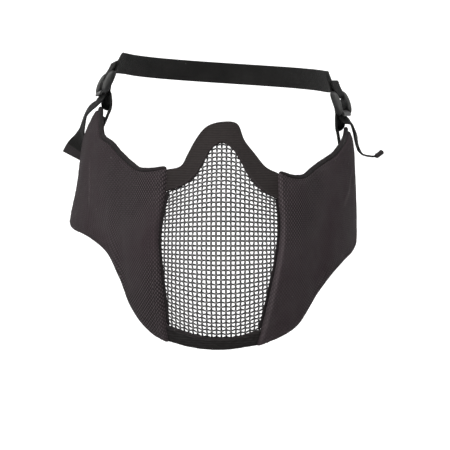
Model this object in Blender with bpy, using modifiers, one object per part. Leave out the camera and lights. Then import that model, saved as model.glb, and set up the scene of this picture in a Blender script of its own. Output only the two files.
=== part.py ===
"""Half-face mask: a woven wire mesh front between cloth nose and chin panels, two padded side wings
that cover the cheeks and ears, and a head strap held by two ladder locks. Metres, +Z up. The origin
is the seat on the bridge of the nose; the mask faces -Y and the wearer's left is +X."""

import math

import bmesh
import bpy
import numpy as np
from mathutils import Matrix, Vector

# Driving sizes of the fitted form
MASK_HEIGHT = 0.150
HALF_WIDTH = 0.0968
MOUTH_BULGE = 0.040
EAR_DEPTH = 0.105
CURL_DEPTH = 0.028
RIGHT_FLARE = 0.020
NOSE_ROUND = 0.06

# Walls, wires and clearances
CLOTH = 0.0018
PAD = 0.0046
PAD_EDGE = 0.0024
LINING = 0.0010
LINING_GAP = 0.0007
WIRE = 0.0017
BINDING = 0.0030
GAP = 0.0003
TUCK = 0.003

# Webbing and ladder locks
WEB_WIDTH = 0.016
WEB = 0.0014
TAIL_HEM = 0.0034
TAIL_HEM_LENGTH = 0.007
RIGHT_TAIL = 0.054
LEFT_TAIL = 0.052
SEWN_DEPTH = 0.024
SEWN_CLEAR = 0.0015
SEWN_TURN = 82.0
SEWN_FACE = 0.12
BACK_FOLD = 0.011
LOCK_BAR = 0.0020
LOCK_PITCH = 0.0064
RAIL_LENGTH = 0.0182
RAIL_HEIGHT = 0.0060
RAIL_WALL = 0.0022
LOCK_TAB = 0.0042
TAB_WALL = 0.0015

# Back of the head that the strap goes round
HEAD_HALF = 0.80 * HALF_WIDTH
HEAD_MID = 1.162 * EAR_DEPTH
HEAD_BACK = 0.076

# Turns of the form, in degrees from the centre line
QUARTER = 90.0
FLARE_START = 40.0
FLARE_FULL = 100.0

# Where things start and end on a wing, as shares of its length and of its height
LAP_START = 0.06
LAP_END = 0.42
RIM_LENGTH = 0.07
RIM_HEIGHT = 0.06
LINING_START = 0.40
LINING_END = 0.985
LINING_RIM = 0.03
BINDING_START = 0.01
BINDING_END = 0.96


def table(columns, rows):
    """Rows of numbers under named columns; the first column rises or falls all the way."""
    return dict(zip(columns.split(), np.array(rows, float).T))


# The form's levels: bulge is a share of MOUTH_BULGE, width of HALF_WIDTH
LEVELS = table("height bulge width sharpness", [
    (0.15, -0.15, 0.90, 1.20),
    (0.00, 0.05, 0.945, 1.20),
    (-0.13, 0.35, 0.975, 1.20),
    (-0.29, 0.80, 0.99, 1.28),
    (-0.50, 1.00, 1.00, 1.42),
    (-0.70, 0.95, 0.99, 1.46),
    (-0.86, 0.70, 0.94, 1.46),
    (-1.02, 0.25, 0.86, 1.46),
])

# How far the rear of the right wing stands out, as shares of RIGHT_FLARE
FLARES = table("height right", [
    (0.15, 0.21),
    (0.07, 0.31),
    (-0.04, 0.54),
    (-0.19, 0.62),
    (-0.29, 0.69),
    (-0.38, 0.82),
    (-0.47, 0.96),
    (-1.00, 1.06),
])

# Turn of the two front seams, in degrees from the centre line
SEAMS = table("height right left", [
    (-0.16, 21.9, 22.8),
    (-0.30, 22.2, 22.2),
    (-0.40, 23.9, 23.1),
    (-0.50, 24.8, 22.8),
    (-0.60, 24.2, 21.4),
    (-0.70, 23.4, 19.6),
    (-0.85, 23.3, 17.3),
    (-0.98, 23.8, 14.9),
])

# Nose panel from the right seam to the left: turns are shares of the seam's
NOSE = table("station lower_turn lower_height upper_turn upper_height", [
    (-1.0, -1.00, -0.289, -1.00, -0.196),
    (-0.8, -0.66, -0.258, -0.74, -0.178),
    (-0.6, -0.46, -0.218, -0.62, -0.126),
    (-0.4, -0.33, -0.168, -0.49, -0.064),
    (-0.2, -0.18, -0.102, -0.28, 0.000),
    (0.0, 0.00, -0.074, 0.02, 0.023),
    (0.2, 0.18, -0.100, 0.27, 0.012),
    (0.4, 0.33, -0.158, 0.39, -0.062),
    (0.6, 0.48, -0.222, 0.57, -0.122),
    (0.8, 0.72, -0.284, 0.76, -0.180),
    (1.0, 1.00, -0.323, 1.00, -0.212),
])

# Chin panel from the right seam to the left
CHIN = table("station upper_height lower_height", [
    (-1.0, -0.885, -0.958),
    (-0.7, -0.906, -0.974),
    (-0.35, -0.928, -0.984),
    (0.0, -0.933, -0.986),
    (0.45, -0.926, -0.980),
    (0.75, -0.912, -0.974),
    (1.0, -0.898, -0.970),
])

# Wing stations from the front seam to the rear edge
WING_COLUMNS = "station top_turn top_height bottom_turn bottom_height"
RIGHT_WING = table(WING_COLUMNS, [
    (0.00, 21.9, -0.196, 23.8, -0.957),
    (0.10, 29.0, -0.207, 30.3, -0.932),
    (0.20, 36.5, -0.203, 37.1, -0.883),
    (0.31, 44.0, -0.170, 43.0, -0.822),
    (0.42, 51.3, -0.130, 47.4, -0.702),
    (0.54, 58.8, -0.082, 53.8, -0.590),
    (0.66, 67.0, -0.050, 63.0, -0.535),
    (0.78, 75.0, 0.028, 72.0, -0.512),
    (0.90, 88.0, 0.078, 83.0, -0.500),
    (1.00, 116.0, 0.040, 92.0, -0.475),
])
LEFT_WING = table(WING_COLUMNS, [
    (0.00, 22.8, -0.214, 14.9, -0.966),
    (0.10, 29.0, -0.236, 24.0, -0.938),
    (0.21, 36.0, -0.232, 32.5, -0.902),
    (0.32, 43.3, -0.192, 38.7, -0.842),
    (0.43, 50.4, -0.163, 44.5, -0.762),
    (0.55, 58.8, -0.136, 52.0, -0.688),
    (0.67, 67.0, -0.100, 62.0, -0.634),
    (0.79, 76.0, -0.066, 74.0, -0.602),
    (0.90, 88.0, -0.026, 86.0, -0.580),
    (1.00, 106.0, -0.050, 98.0, -0.555),
])

# Soft folds of each wing: a ridge or dent from one station and drop to another, height a share of PAD
FOLD_COLUMNS = "station_a drop_a station_b drop_b width height"
FOLDS = {
    "right": table(FOLD_COLUMNS, [
        (0.80, 0.15, 0.84, 0.60, 0.045, 0.35),
        (0.70, 0.05, 0.72, 0.75, 0.060, -0.25),
        (0.42, 0.10, 0.46, 0.95, 0.080, 0.30),
        (0.14, 0.12, 0.16, 0.90, 0.050, -0.18),
    ]),
    "left": table(FOLD_COLUMNS, [
        (0.92, 0.05, 0.78, 0.50, 0.045, 0.35),
        (0.80, 0.02, 0.70, 0.60, 0.060, -0.25),
        (0.40, 0.15, 0.44, 0.90, 0.090, 0.25),
        (0.13, 0.10, 0.18, 0.90, 0.050, -0.18),
    ]),
}

# Each lock: its middle as shares of HALF_WIDTH, EAR_DEPTH and MASK_HEIGHT, then the way the webbing
# climbs and the way its face looks
LOCK_COLUMNS = "x y z up_x up_y up_z out_x out_y out_z"
LOCKS = {
    "right": table(LOCK_COLUMNS, [(-0.894, 0.962, 0.203, 0.40, 0.24, 0.89, -1.0, -0.29, 0.4)]),
    "left": table(LOCK_COLUMNS, [(0.873, 0.952, 0.107, -0.32, 0.12, 0.91, 1.0, -0.40, 0.3)]),
}

# Free tails below each lock, as shares of the tail's length, with the way the webbing faces
TAIL_COLUMNS = "x y z face_x face_y face_z"
TAILS = {
    "right": table(TAIL_COLUMNS, [
        (-0.12, 0.05, -0.12, -0.6, -0.30, 0.8),
        (-0.22, 0.14, -0.21, -0.8, -0.28, 0.6),
        (-0.27, 0.22, -0.32, -1.0, -0.25, 0.3),
        (-0.30, 0.28, -0.42, -1.0, -0.30, 0.2),
        (-0.32, 0.34, -0.52, -1.0, -0.50, 0.2),
        (-0.355, 0.39, -0.62, -0.8, -0.8, 0.1),
        (-0.41, 0.42, -0.71, -0.4, -1.0, 0.0),
        (-0.47, 0.44, -0.83, -0.1, -1.0, 0.0),
    ]),
    "left": table(TAIL_COLUMNS, [
        (0.09, 0.05, -0.06, 0.8, 0.0, 0.6),
        (0.17, 0.19, -0.24, 1.0, -0.08, 0.2),
        (0.22, 0.31, -0.37, 1.0, -0.04, 0.0),
        (0.25, 0.35, -0.46, 0.9, -0.04, 0.4),
        (0.28, 0.32, -0.53, 0.6, 0.0, 0.8),
        (0.39, 0.32, -0.57, 0.1, 0.04, 1.0),
        (0.49, 0.32, -0.57, -0.2, 0.04, 1.0),
        (0.59, 0.32, -0.50, -0.6, 0.04, 0.8),
    ]),
}

SIDES = {"right": -1, "left": 1}
WINGS = {"right": RIGHT_WING, "left": LEFT_WING}
TAIL_LENGTHS = {"right": RIGHT_TAIL, "left": LEFT_TAIL}


def smooth(xs, ys, x):
    """Cubic through the table's points, with the slope at each taken from its neighbours."""
    order = np.argsort(xs)
    xs = xs[order]
    ys = ys[order]
    slope = np.gradient(ys, xs)
    x = np.clip(x, xs[0], xs[-1])
    i = np.clip(np.searchsorted(xs, x) - 1, 0, len(xs) - 2)
    step = xs[i + 1] - xs[i]
    t = (x - xs[i]) / step
    start = (2 * t**3 - 3 * t**2 + 1) * ys[i] + (t**3 - 2 * t**2 + t) * step * slope[i]
    end = (3 * t**2 - 2 * t**3) * ys[i + 1] + (t**3 - t**2) * step * slope[i + 1]
    return start + end


def read(rows, column, at):
    """A column of a table, read at values of its first column."""
    first = next(iter(rows))
    return smooth(rows[first], rows[column], np.asarray(at, float))


def ease(low, high, x):
    t = np.clip((x - low) / (high - low), 0, 1)
    return t * t * (3 - 2 * t)


def form(turn, height):
    """Point of the fitted form. Across the face x is the half width times the sine of the turn,
    and y goes back from the front by the depth times the turn's share of a quarter, raised to the
    sharpness. Past a quarter turn the section closes in on an ellipse."""
    turn, height = np.broadcast_arrays(np.asarray(turn, float), np.asarray(height, float))
    front = -MOUTH_BULGE * read(LEVELS, "bulge", height)
    half = HALF_WIDTH * read(LEVELS, "width", height)
    share = np.minimum(np.abs(turn) / QUARTER, 1)
    round_whole = math.hypot(1, NOSE_ROUND) - NOSE_ROUND
    share = (np.hypot(share, NOSE_ROUND) - NOSE_ROUND) / round_whole
    past = np.radians(np.maximum(np.abs(turn) - QUARTER, 0))
    x = half * np.sin(np.radians(turn))
    x = x - RIGHT_FLARE * read(FLARES, "right", height) * ease(FLARE_START, FLARE_FULL, -turn)
    y = front + (EAR_DEPTH - front) * share ** read(LEVELS, "sharpness", height)
    y = y + CURL_DEPTH * np.sin(past)
    return np.stack([x, y, height * MASK_HEIGHT], -1)


def outward(turn, height):
    """Unit normal of the form, pointing away from the face."""
    d_turn = form(turn + 0.05, height) - form(turn - 0.05, height)
    d_height = form(turn, height + 0.002) - form(turn, height - 0.002)
    normal = np.cross(d_turn, d_height)
    return normal / np.linalg.norm(normal, axis=-1, keepdims=True)


def skin(turn, height, out):
    """Point at a distance out from the form."""
    return form(turn, height) + np.asarray(out)[..., None] * outward(turn, height)


def seam_turn(side, height):
    return read(SEAMS, side, height)


SEAM_GAP = math.degrees(GAP / HALF_WIDTH)
PANEL_OUT = WIRE / 2 + GAP


def side_turn(share, height):
    """Turn at a signed share of the way from the centre line to the seam on that side."""
    right = seam_turn("right", height) - SEAM_GAP
    left = seam_turn("left", height) - SEAM_GAP
    return np.where(share < 0, right, left) * share


def nose_place(u, v):
    """u runs from the right seam to the left, v from the mesh up to the bridge edge."""
    station = 2 * u - 1
    height = read(NOSE, "lower_height", station) * (1 - v) + read(NOSE, "upper_height", station) * v
    share = read(NOSE, "lower_turn", station) * (1 - v) + read(NOSE, "upper_turn", station) * v
    return side_turn(share, height), height


def chin_place(u, v):
    """u runs from the right seam to the left, v from the mesh down to the hem."""
    share = 2 * u - 1
    height = read(CHIN, "upper_height", share) * (1 - v) + read(CHIN, "lower_height", share) * v
    return side_turn(share, height), height


def wing_place(side, u, v):
    """u runs from the front seam to the rear edge, v from the top edge to the bottom. The first
    station follows the seam, and the bow of the seam fades out towards the rear."""
    rows = WINGS[side]
    height = read(rows, "top_height", u) * (1 - v) + read(rows, "bottom_height", u) * v
    turn = read(rows, "top_turn", u) * (1 - v) + read(rows, "bottom_turn", u) * v
    seam = seam_turn(side, height)
    chord = rows["top_turn"][0] * (1 - v) + rows["bottom_turn"][0] * v
    turn = turn + (seam - chord) * (1 - u) ** 4
    return SIDES[side] * turn, height


def fold_height(side, u, v):
    """Sum of the wing's folds, each a bell across its own line that fades out at the line's ends."""
    rows = FOLDS[side]
    total = np.zeros(np.broadcast(u, v).shape)
    for k in range(len(rows["width"])):
        a = np.array([rows["station_a"][k], rows["drop_a"][k]])
        b = np.array([rows["station_b"][k], rows["drop_b"][k]])
        line = b - a
        along = ((u - a[0]) * line[0] + (v - a[1]) * line[1]) / (line @ line)
        off = (u - a[0] - along * line[0])
        bell = np.exp(-(off / rows["width"][k]) ** 2)
        ends = ease(-0.15, 0.15, along) * (1 - ease(0.85, 1.15, along))
        total = total + rows["height"][k] * PAD * bell * ends
    return total


def wing_inner(side, u, v):
    """Distance of a wing's inner face from the form. It lies over the mesh at the seam, and from
    there on its outer face comes down to the form."""
    sink = (PAD + PANEL_OUT) * ease(LAP_START, LAP_END, u)
    return PANEL_OUT - sink + fold_height(side, u, v)


def pad_share(u, v):
    """Thickness of a wing as a share of PAD: full inside, thinner at all four edges."""
    rim = PAD_EDGE / PAD
    edge = np.minimum(np.minimum(u, 1 - u) / RIM_LENGTH, np.minimum(v, 1 - v) / RIM_HEIGHT)
    edge = np.clip(edge, 0, 1)
    return rim + (1 - rim) * np.sqrt(1 - (1 - edge) ** 2)


def edge_spread(count):
    """Grid stations from 0 to 1 that crowd towards both ends."""
    t = np.linspace(0, 1, count)
    return 0.35 * t + 0.65 * ease(0, 1, t)


def collection(name, hidden=False):
    made = bpy.data.collections.new(name)
    bpy.context.scene.collection.children.link(made)
    made.hide_render = hidden
    return made


def material(name, colour, roughness, metallic=0.0):
    made = bpy.data.materials.new(name)
    made.use_nodes = True
    shader = made.node_tree.nodes["Principled BSDF"]
    shader.inputs["Base Color"].default_value = (*colour, 1)
    shader.inputs["Roughness"].default_value = roughness
    shader.inputs["Metallic"].default_value = metallic
    return made


def add(name, mesh, finish, home):
    made = bpy.data.objects.new(name, mesh)
    mesh.materials.append(finish)
    home.objects.link(made)
    return made


def sheet(name, columns, rows, place):
    """An open grid whose vertices are moved to place(u, v); u and v run from 0 to 1."""
    bm = bmesh.new()
    bmesh.ops.create_grid(bm, x_segments=columns, y_segments=rows, size=0.5)
    flat = np.array([vertex.co[:] for vertex in bm.verts])
    u = np.clip(flat[:, 0] + 0.5, 0, 1)
    v = np.clip(flat[:, 1] + 0.5, 0, 1)
    for vertex, point in zip(bm.verts, place(u, v)):
        vertex.co = point
    mesh = bpy.data.meshes.new(name)
    bm.to_mesh(mesh)
    bm.free()
    mesh.shade_smooth()
    return mesh, u, v


def thicken(made, thickness, offset, weights=None):
    """Solidify to a wall; offset 1 grows it outward and -1 inward."""
    solid = made.modifiers.new("wall", "SOLIDIFY")
    solid.thickness = thickness
    solid.offset = offset
    solid.use_even_offset = True
    if weights is not None:
        group = made.vertex_groups.new(name="thickness")
        for index, weight in enumerate(weights):
            group.add([index], float(weight), "REPLACE")
        solid.vertex_group = group.name
        solid.thickness_vertex_group = 0.0
    return solid


def spread(points_in, u):
    """Even grid shares moved to crowd at the ends."""
    return np.interp(u, np.linspace(0, 1, len(points_in)), points_in)


def nose_panel(finish, home):
    mesh, _, _ = sheet("nose_panel", 26, 4, lambda u, v: skin(*nose_place(u, v), PANEL_OUT))
    thicken(add("nose_panel", mesh, finish, home), CLOTH, 1)


def chin_panel(finish, home):
    mesh, _, _ = sheet("chin_panel", 16, 3, lambda u, v: skin(*chin_place(u, 1 - v), PANEL_OUT))
    thicken(add("chin_panel", mesh, finish, home), CLOTH, 1)


def wire_mesh_panel(finish, home):
    """Coarse net over the whole front. Rows run level at the top and sink in the middle towards
    the chin; each column ends at the nose panel's edge, where the spare rows collapse."""
    columns = 10
    rows = 13
    top = NOSE["lower_height"].max()
    tuck_turn = math.degrees(TUCK / HALF_WIDTH)
    tuck_height = TUCK / MASK_HEIGHT

    def place(u, v):
        share = 2 * u - 1
        drop = 1 - v
        roof = smooth(NOSE["lower_turn"], NOSE["lower_height"], share) + tuck_height
        floor = read(CHIN, "upper_height", share) - tuck_height
        level = (top + tuck_height) * (1 - drop) + floor * drop
        cell = (top - CHIN["upper_height"].min()) / rows
        height = np.where(level > roof - 0.4 * cell, roof, level)
        turn = side_turn(share, height)
        return skin(turn + np.sign(share) * np.abs(share) * tuck_turn, height, 0 * turn)

    mesh, _, _ = sheet("wire_mesh_panel", columns, rows, place)
    bm = bmesh.new()
    bm.from_mesh(mesh)
    bmesh.ops.remove_doubles(bm, verts=bm.verts, dist=1e-5)
    bm.to_mesh(mesh)
    bm.free()
    made = add("wire_mesh_panel", mesh, finish, home)
    net = made.modifiers.new("net", "WIREFRAME")
    net.thickness = WIRE
    net.use_even_offset = True
    net.use_boundary = True


def side_panel(side, finish, home):
    """Padded wing: an inner face on the form, and a wall that swells from its edges."""
    across = edge_spread(23)
    down = edge_spread(13)

    def place(u, v):
        u = spread(across, u)
        v = spread(down, 1 - v)
        return skin(*wing_place(side, u, v), wing_inner(side, u, v))

    name = f"side_panel_{side}"
    mesh, u, v = sheet(name, len(across) - 1, len(down) - 1, place)
    if SIDES[side] < 0:
        mesh.flip_normals()
    weights = pad_share(spread(across, u), spread(down, 1 - v))
    thicken(add(name, mesh, finish, home), PAD, 1, weights)


def top_binding(side, finish, home):
    """Rolled tape along a wing's top edge."""
    curve = bpy.data.curves.new(f"top_binding_{side}", "CURVE")
    curve.dimensions = "3D"
    curve.bevel_depth = BINDING / 2
    curve.bevel_resolution = 1
    curve.use_fill_caps = True
    u = np.linspace(BINDING_START, BINDING_END, 34)
    turn, height = wing_place(side, u, 0 * u)
    edge = skin(turn, height, wing_inner(side, u, 0 * u) + PAD_EDGE / 2)
    above = SIDES[side] * np.cross(outward(turn, height), np.gradient(edge, axis=0))
    above /= np.linalg.norm(above, axis=1, keepdims=True)
    centre = edge + (BINDING / 2 + 2 * GAP) * above
    spline = curve.splines.new("POLY")
    spline.points.add(len(centre) - 1)
    spline.points.foreach_set("co", np.c_[centre, np.ones(len(centre))].ravel())
    add(f"top_binding_{side}", curve, finish, home)


def ear_lining(side, finish, home):
    """Net lining behind the rear half of a wing."""
    def place(u, v):
        u = LINING_START + (LINING_END - LINING_START) * u
        v = LINING_RIM + (1 - 2 * LINING_RIM) * (1 - v)
        turn, height = wing_place(side, u, v)
        return skin(turn, height, wing_inner(side, u, v) - LINING_GAP)

    name = f"ear_lining_{side}"
    mesh, _, _ = sheet(name, 14, 8, place)
    if SIDES[side] < 0:
        mesh.flip_normals()
    thicken(add(name, mesh, finish, home), LINING, -1)


def lock_frame(side):
    """Matrix of a lock: x across the webbing, y up along it, z out of the lock's face."""
    rows = LOCKS[side]
    up = Vector([rows[f"up_{axis}"][0] for axis in "xyz"]).normalized()
    out = Vector([rows[f"out_{axis}"][0] for axis in "xyz"])
    out = (out - out.dot(up) * up).normalized()
    across = up.cross(out)
    frame = Matrix((across, up, out)).transposed().to_4x4()
    sizes = (HALF_WIDTH, EAR_DEPTH, MASK_HEIGHT)
    frame.translation = [rows[axis][0] * size for axis, size in zip("xyz", sizes)]
    return frame


def in_lock(side, along, out):
    """World points at distances along the webbing and out of the lock's face."""
    frame = np.array(lock_frame(side))
    along, out = np.broadcast_arrays(np.asarray(along, float), np.asarray(out, float))
    return frame[:3, 3] + along[..., None] * frame[:3, 1] + out[..., None] * frame[:3, 2]


def lock_out(side):
    return np.array(lock_frame(side))[:3, 2]


WRAP = LOCK_BAR / 2 + GAP + WEB / 2


def wrap(centre, start, end, count):
    """Places along and out of the face, on an arc round a bar that the webbing clears by GAP."""
    angle = np.radians(np.linspace(start, end, count))
    return centre + WRAP * np.cos(angle), WRAP * np.sin(angle)


def ribbon(name, centre, facing, finish, home, weights=None):
    """Webbing of WEB_WIDTH on a path, its face turned to the facing vectors."""
    ahead = np.gradient(centre, axis=0)
    across = np.cross(ahead, facing)
    across /= np.linalg.norm(across, axis=1, keepdims=True)
    t = np.linspace(0, 1, len(centre))

    def place(u, v):
        middle = np.stack([np.interp(u, t, column) for column in centre.T], -1)
        edge = np.stack([np.interp(u, t, column) for column in across.T], -1)
        return middle + (0.5 - v)[:, None] * WEB_WIDTH * edge

    mesh, u, _ = sheet(name, len(centre) - 1, 1, place)
    if weights is not None:
        weights = np.interp(u, t, weights)
    made = add(name, mesh, finish, home)
    thicken(made, WEB if weights is None else TAIL_HEM, 0, weights)


def curve_through(points, facing, count):
    """Smooth path and facing vectors through control points, evenly spaced along the path."""
    steps = np.linalg.norm(np.diff(points, axis=0), axis=1)
    at = np.r_[0, np.cumsum(steps)]
    t = np.linspace(0, at[-1], count)
    path = np.stack([smooth(at, column, t) for column in points.T], -1)
    faces = np.stack([np.interp(t, at, column) for column in facing.T], -1)
    return path, faces


def adjust_strap(side, finish, home):
    """Webbing sewn inside the wing's rear corner. It climbs behind the lock's lower bar, goes round
    the middle bar and leaves under the lower bar again as the free tail."""
    sign = SIDES[side]
    depth = PAD + LINING_GAP + LINING + SEWN_CLEAR + WEB
    top = WINGS[side]["top_height"][-2]
    drops = np.array([-1.0, -0.5, 0.0, 0.25]) * SEWN_DEPTH / MASK_HEIGHT
    sewn = skin(sign * SEWN_TURN, top + drops, -depth)
    sewn_facing = np.tile([sign, -SEWN_FACE, 0.0], (len(drops), 1))
    out = lock_out(side)
    under = -(WRAP + WEB + GAP)
    climb = in_lock(side, np.array([-1.45, -1.0, -0.55]) * LOCK_PITCH,
                    np.array([under, under, 0.65 * under - 0.35 * WRAP]))
    lean = math.degrees(math.asin(2 * WRAP / LOCK_PITCH))
    around = in_lock(side, *wrap(0, -90, 90 + lean, 9))
    below = in_lock(side, *wrap(-LOCK_PITCH, lean - 90, -90, 3))
    exit_at = in_lock(side, -1.45 * LOCK_PITCH, -WRAP)
    rows = TAILS[side]
    tail = np.stack([rows[axis] for axis in "xyz"], -1) * TAIL_LENGTHS[side]
    tail_facing = np.stack([rows[f"face_{axis}"] for axis in "xyz"], -1)
    load, load_facing = curve_through(
        np.vstack([sewn, climb]), np.vstack([sewn_facing, np.tile(out, (len(climb), 1))]), 16)
    free, free_facing = curve_through(
        np.vstack([exit_at, exit_at + tail]), np.vstack([-out, -tail_facing]), 20)
    centre = np.vstack([load, around, below, free])
    radial = [out] * len(load)
    for points, bar in ((around, 0), (below, -LOCK_PITCH)):
        outwards = in_lock(side, bar, 0) - points
        radial += list(outwards / np.linalg.norm(outwards, axis=1, keepdims=True))
    radial[len(load) + len(around):] = [-v for v in radial[len(load) + len(around):]]
    facing = np.vstack([load_facing, radial[len(load):], free_facing])
    reach = np.r_[0, np.cumsum(np.linalg.norm(np.diff(centre, axis=0), axis=1))]
    hem = ease(0, 0.001, reach - (reach[-1] - TAIL_HEM_LENGTH))
    weights = (WEB + (TAIL_HEM - WEB) * hem) / TAIL_HEM
    ribbon(f"adjust_strap_{side}", centre, facing, finish, home, weights)


def head_strap(finish, home):
    """Webbing looped through the upper bar of each lock and carried round the back of the head on
    half an ellipse, with each end folded back and sewn to itself."""
    lie = WEB / 2 + GAP

    def end(side):
        """From the folded end, round the bar, to where the strap leaves for the back."""
        fold = in_lock(side, LOCK_PITCH + np.array([1.0, 0.6, 0.3]) * BACK_FOLD, [lie, lie, 1.4 * lie])
        turn = in_lock(side, *wrap(LOCK_PITCH, 80, 280, 9))
        leave = in_lock(side, LOCK_PITCH + np.array([0.3, 0.6, 1.0]) * BACK_FOLD,
                        [-1.4 * lie, -lie, -lie])
        inward = in_lock(side, LOCK_PITCH, 0) - turn
        inward = inward / np.linalg.norm(inward, axis=1, keepdims=True)
        out = lock_out(side)
        facing = np.vstack([[-out] * 3, inward, [out] * 3])
        return np.vstack([fold, turn, leave]), facing

    right, right_facing = end("right")
    left, left_facing = end("left")
    angle = np.radians(np.linspace(14, 166, 14))
    around = np.stack([-HEAD_HALF * np.cos(angle), HEAD_MID + HEAD_BACK * np.sin(angle)], -1)
    share = np.linspace(0, 1, len(angle))
    level = right[-1][2] * (1 - share) + left[-1][2] * share
    around = np.c_[around, level]
    around_facing = np.c_[-np.cos(angle) / HEAD_HALF, np.sin(angle) / HEAD_BACK, 0 * angle]
    around_facing /= np.linalg.norm(around_facing, axis=1, keepdims=True)
    back, back_facing = curve_through(
        np.vstack([right[-1], around, left[-1]]),
        np.vstack([right_facing[-1], around_facing, left_facing[-1]]), 34)
    centre = np.vstack([right[:-1], back, left[::-1][1:]])
    facing = np.vstack([right_facing[:-1], back_facing, left_facing[::-1][1:]])
    ribbon("head_strap", centre, facing, finish, home)


def fuse(base, others, spares):
    """Unions the other pieces into the base; they stay as hidden helpers."""
    for other in others:
        other.hide_render = True
        other.display_type = "WIRE"
        spares.objects.link(other)
        union = base.modifiers.new("join", "BOOLEAN")
        union.operation = "UNION"
        union.object = other


def turned(name, radius, depth, turn, scale, place, segments=16):
    """A short cylinder, turned, scaled and placed in its own mesh."""
    bm = bmesh.new()
    bmesh.ops.create_cone(bm, cap_ends=True, segments=segments, radius1=radius, radius2=radius,
                          depth=depth, matrix=turn)
    bmesh.ops.scale(bm, vec=scale, verts=bm.verts)
    bmesh.ops.translate(bm, vec=place, verts=bm.verts)
    mesh = bpy.data.meshes.new(name)
    bm.to_mesh(mesh)
    bm.free()
    return mesh


def ladder_lock(side, finish, home, spares):
    """Two oval side rails, three cross bars and a lifting tab below the lower bar."""
    across = Matrix.Rotation(math.pi / 2, 4, "Y")
    reach = WEB_WIDTH / 2 + 4 * GAP + RAIL_WALL / 2
    name = f"ladder_lock_{side}"
    oval = (1, RAIL_LENGTH / RAIL_HEIGHT, 1)
    pieces = []
    for sign in (-1, 1):
        mesh = turned(name, RAIL_HEIGHT / 2, RAIL_WALL, across, oval, (sign * reach, 0, 0), 20)
        pieces.append(bpy.data.objects.new(name, mesh))
    for place in (-LOCK_PITCH, 0, LOCK_PITCH):
        mesh = turned(f"{name}_bar", LOCK_BAR / 2, 2 * reach, across, (1, 1, 1), (0, place, 0), 10)
        pieces.append(bpy.data.objects.new(f"{name}_bar", mesh))
    bm = bmesh.new()
    bmesh.ops.create_cube(bm, size=1)
    bmesh.ops.scale(bm, vec=(WEB_WIDTH * 0.9, LOCK_TAB, TAB_WALL), verts=bm.verts)
    bmesh.ops.rotate(bm, matrix=Matrix.Rotation(math.radians(-28), 3, "X"), verts=bm.verts)
    bmesh.ops.translate(bm, vec=(0, -LOCK_PITCH - LOCK_TAB / 2, LOCK_TAB * 0.28), verts=bm.verts)
    mesh = bpy.data.meshes.new(f"{name}_tab")
    bm.to_mesh(mesh)
    bm.free()
    pieces.append(bpy.data.objects.new(f"{name}_tab", mesh))
    base = pieces[0]
    base.name = name
    base.data.materials.append(finish)
    home.objects.link(base)
    fuse(base, pieces[1:], spares)
    for piece in pieces:
        piece.matrix_world = lock_frame(side)


def clear_scene():
    for old in list(bpy.data.objects):
        bpy.data.objects.remove(old, do_unlink=True)


def main():
    clear_scene()
    home = collection("mesh_face_mask")
    spares = collection("helpers", hidden=True)
    cloth = material("nylon cloth", (0.045, 0.042, 0.043), 0.85)
    ribbed = material("ribbed cloth", (0.035, 0.033, 0.031), 0.85)
    net = material("lining net", (0.02, 0.02, 0.02), 0.8)
    wire = material("coated wire", (0.02, 0.02, 0.02), 0.4, 0.6)
    webbing = material("elastic webbing", (0.02, 0.02, 0.019), 0.8)
    plastic = material("black plastic", (0.015, 0.015, 0.015), 0.35)
    nose_panel(ribbed, home)
    chin_panel(ribbed, home)
    wire_mesh_panel(wire, home)
    for side in SIDES:
        side_panel(side, cloth, home)
        top_binding(side, ribbed, home)
        ear_lining(side, net, home)
        adjust_strap(side, webbing, home)
        ladder_lock(side, plastic, home, spares)
    head_strap(webbing, home)


main()
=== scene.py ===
"""Looks of the mesh face mask: woven wires, ribbed panels, padded wings, net linings, elastic webbing
and ladder locks, worked out on the same fitted form as the construction. Metres, +Z up; the mask
faces -Y, the wearer's left is +X, and the origin is the seat on the bridge of the nose."""

import math

import bpy
import numpy as np
from mathutils import Matrix, Vector


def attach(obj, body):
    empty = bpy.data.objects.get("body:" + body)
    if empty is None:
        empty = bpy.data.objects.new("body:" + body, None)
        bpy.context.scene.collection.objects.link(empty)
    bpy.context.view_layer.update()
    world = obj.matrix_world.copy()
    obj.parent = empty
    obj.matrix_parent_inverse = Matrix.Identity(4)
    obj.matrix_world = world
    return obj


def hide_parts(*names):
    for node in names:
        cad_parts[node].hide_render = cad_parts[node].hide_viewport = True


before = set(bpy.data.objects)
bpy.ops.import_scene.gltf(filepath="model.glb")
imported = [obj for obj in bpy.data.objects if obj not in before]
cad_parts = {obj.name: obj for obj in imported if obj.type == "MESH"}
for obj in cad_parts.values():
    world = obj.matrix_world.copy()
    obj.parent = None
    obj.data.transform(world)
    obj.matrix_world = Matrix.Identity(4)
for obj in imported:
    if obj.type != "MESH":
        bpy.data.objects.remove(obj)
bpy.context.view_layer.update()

MM = 0.001

# Driving sizes of the fitted form, as in the construction
MASK_HEIGHT = 0.150
HALF_WIDTH = 0.0968
MOUTH_BULGE = 0.040
EAR_DEPTH = 0.105
CURL_DEPTH = 0.028
RIGHT_FLARE = 0.020
NOSE_ROUND = 0.06

# Walls and clearances, as in the construction
CLOTH = 0.0018
PAD = 0.0046
PAD_EDGE = 0.0024
LINING = 0.0010
LINING_GAP = 0.0007
WIRE = 0.0017
GAP = 0.0003
TUCK = 0.003
PANEL_OUT = WIRE / 2 + GAP

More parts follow.
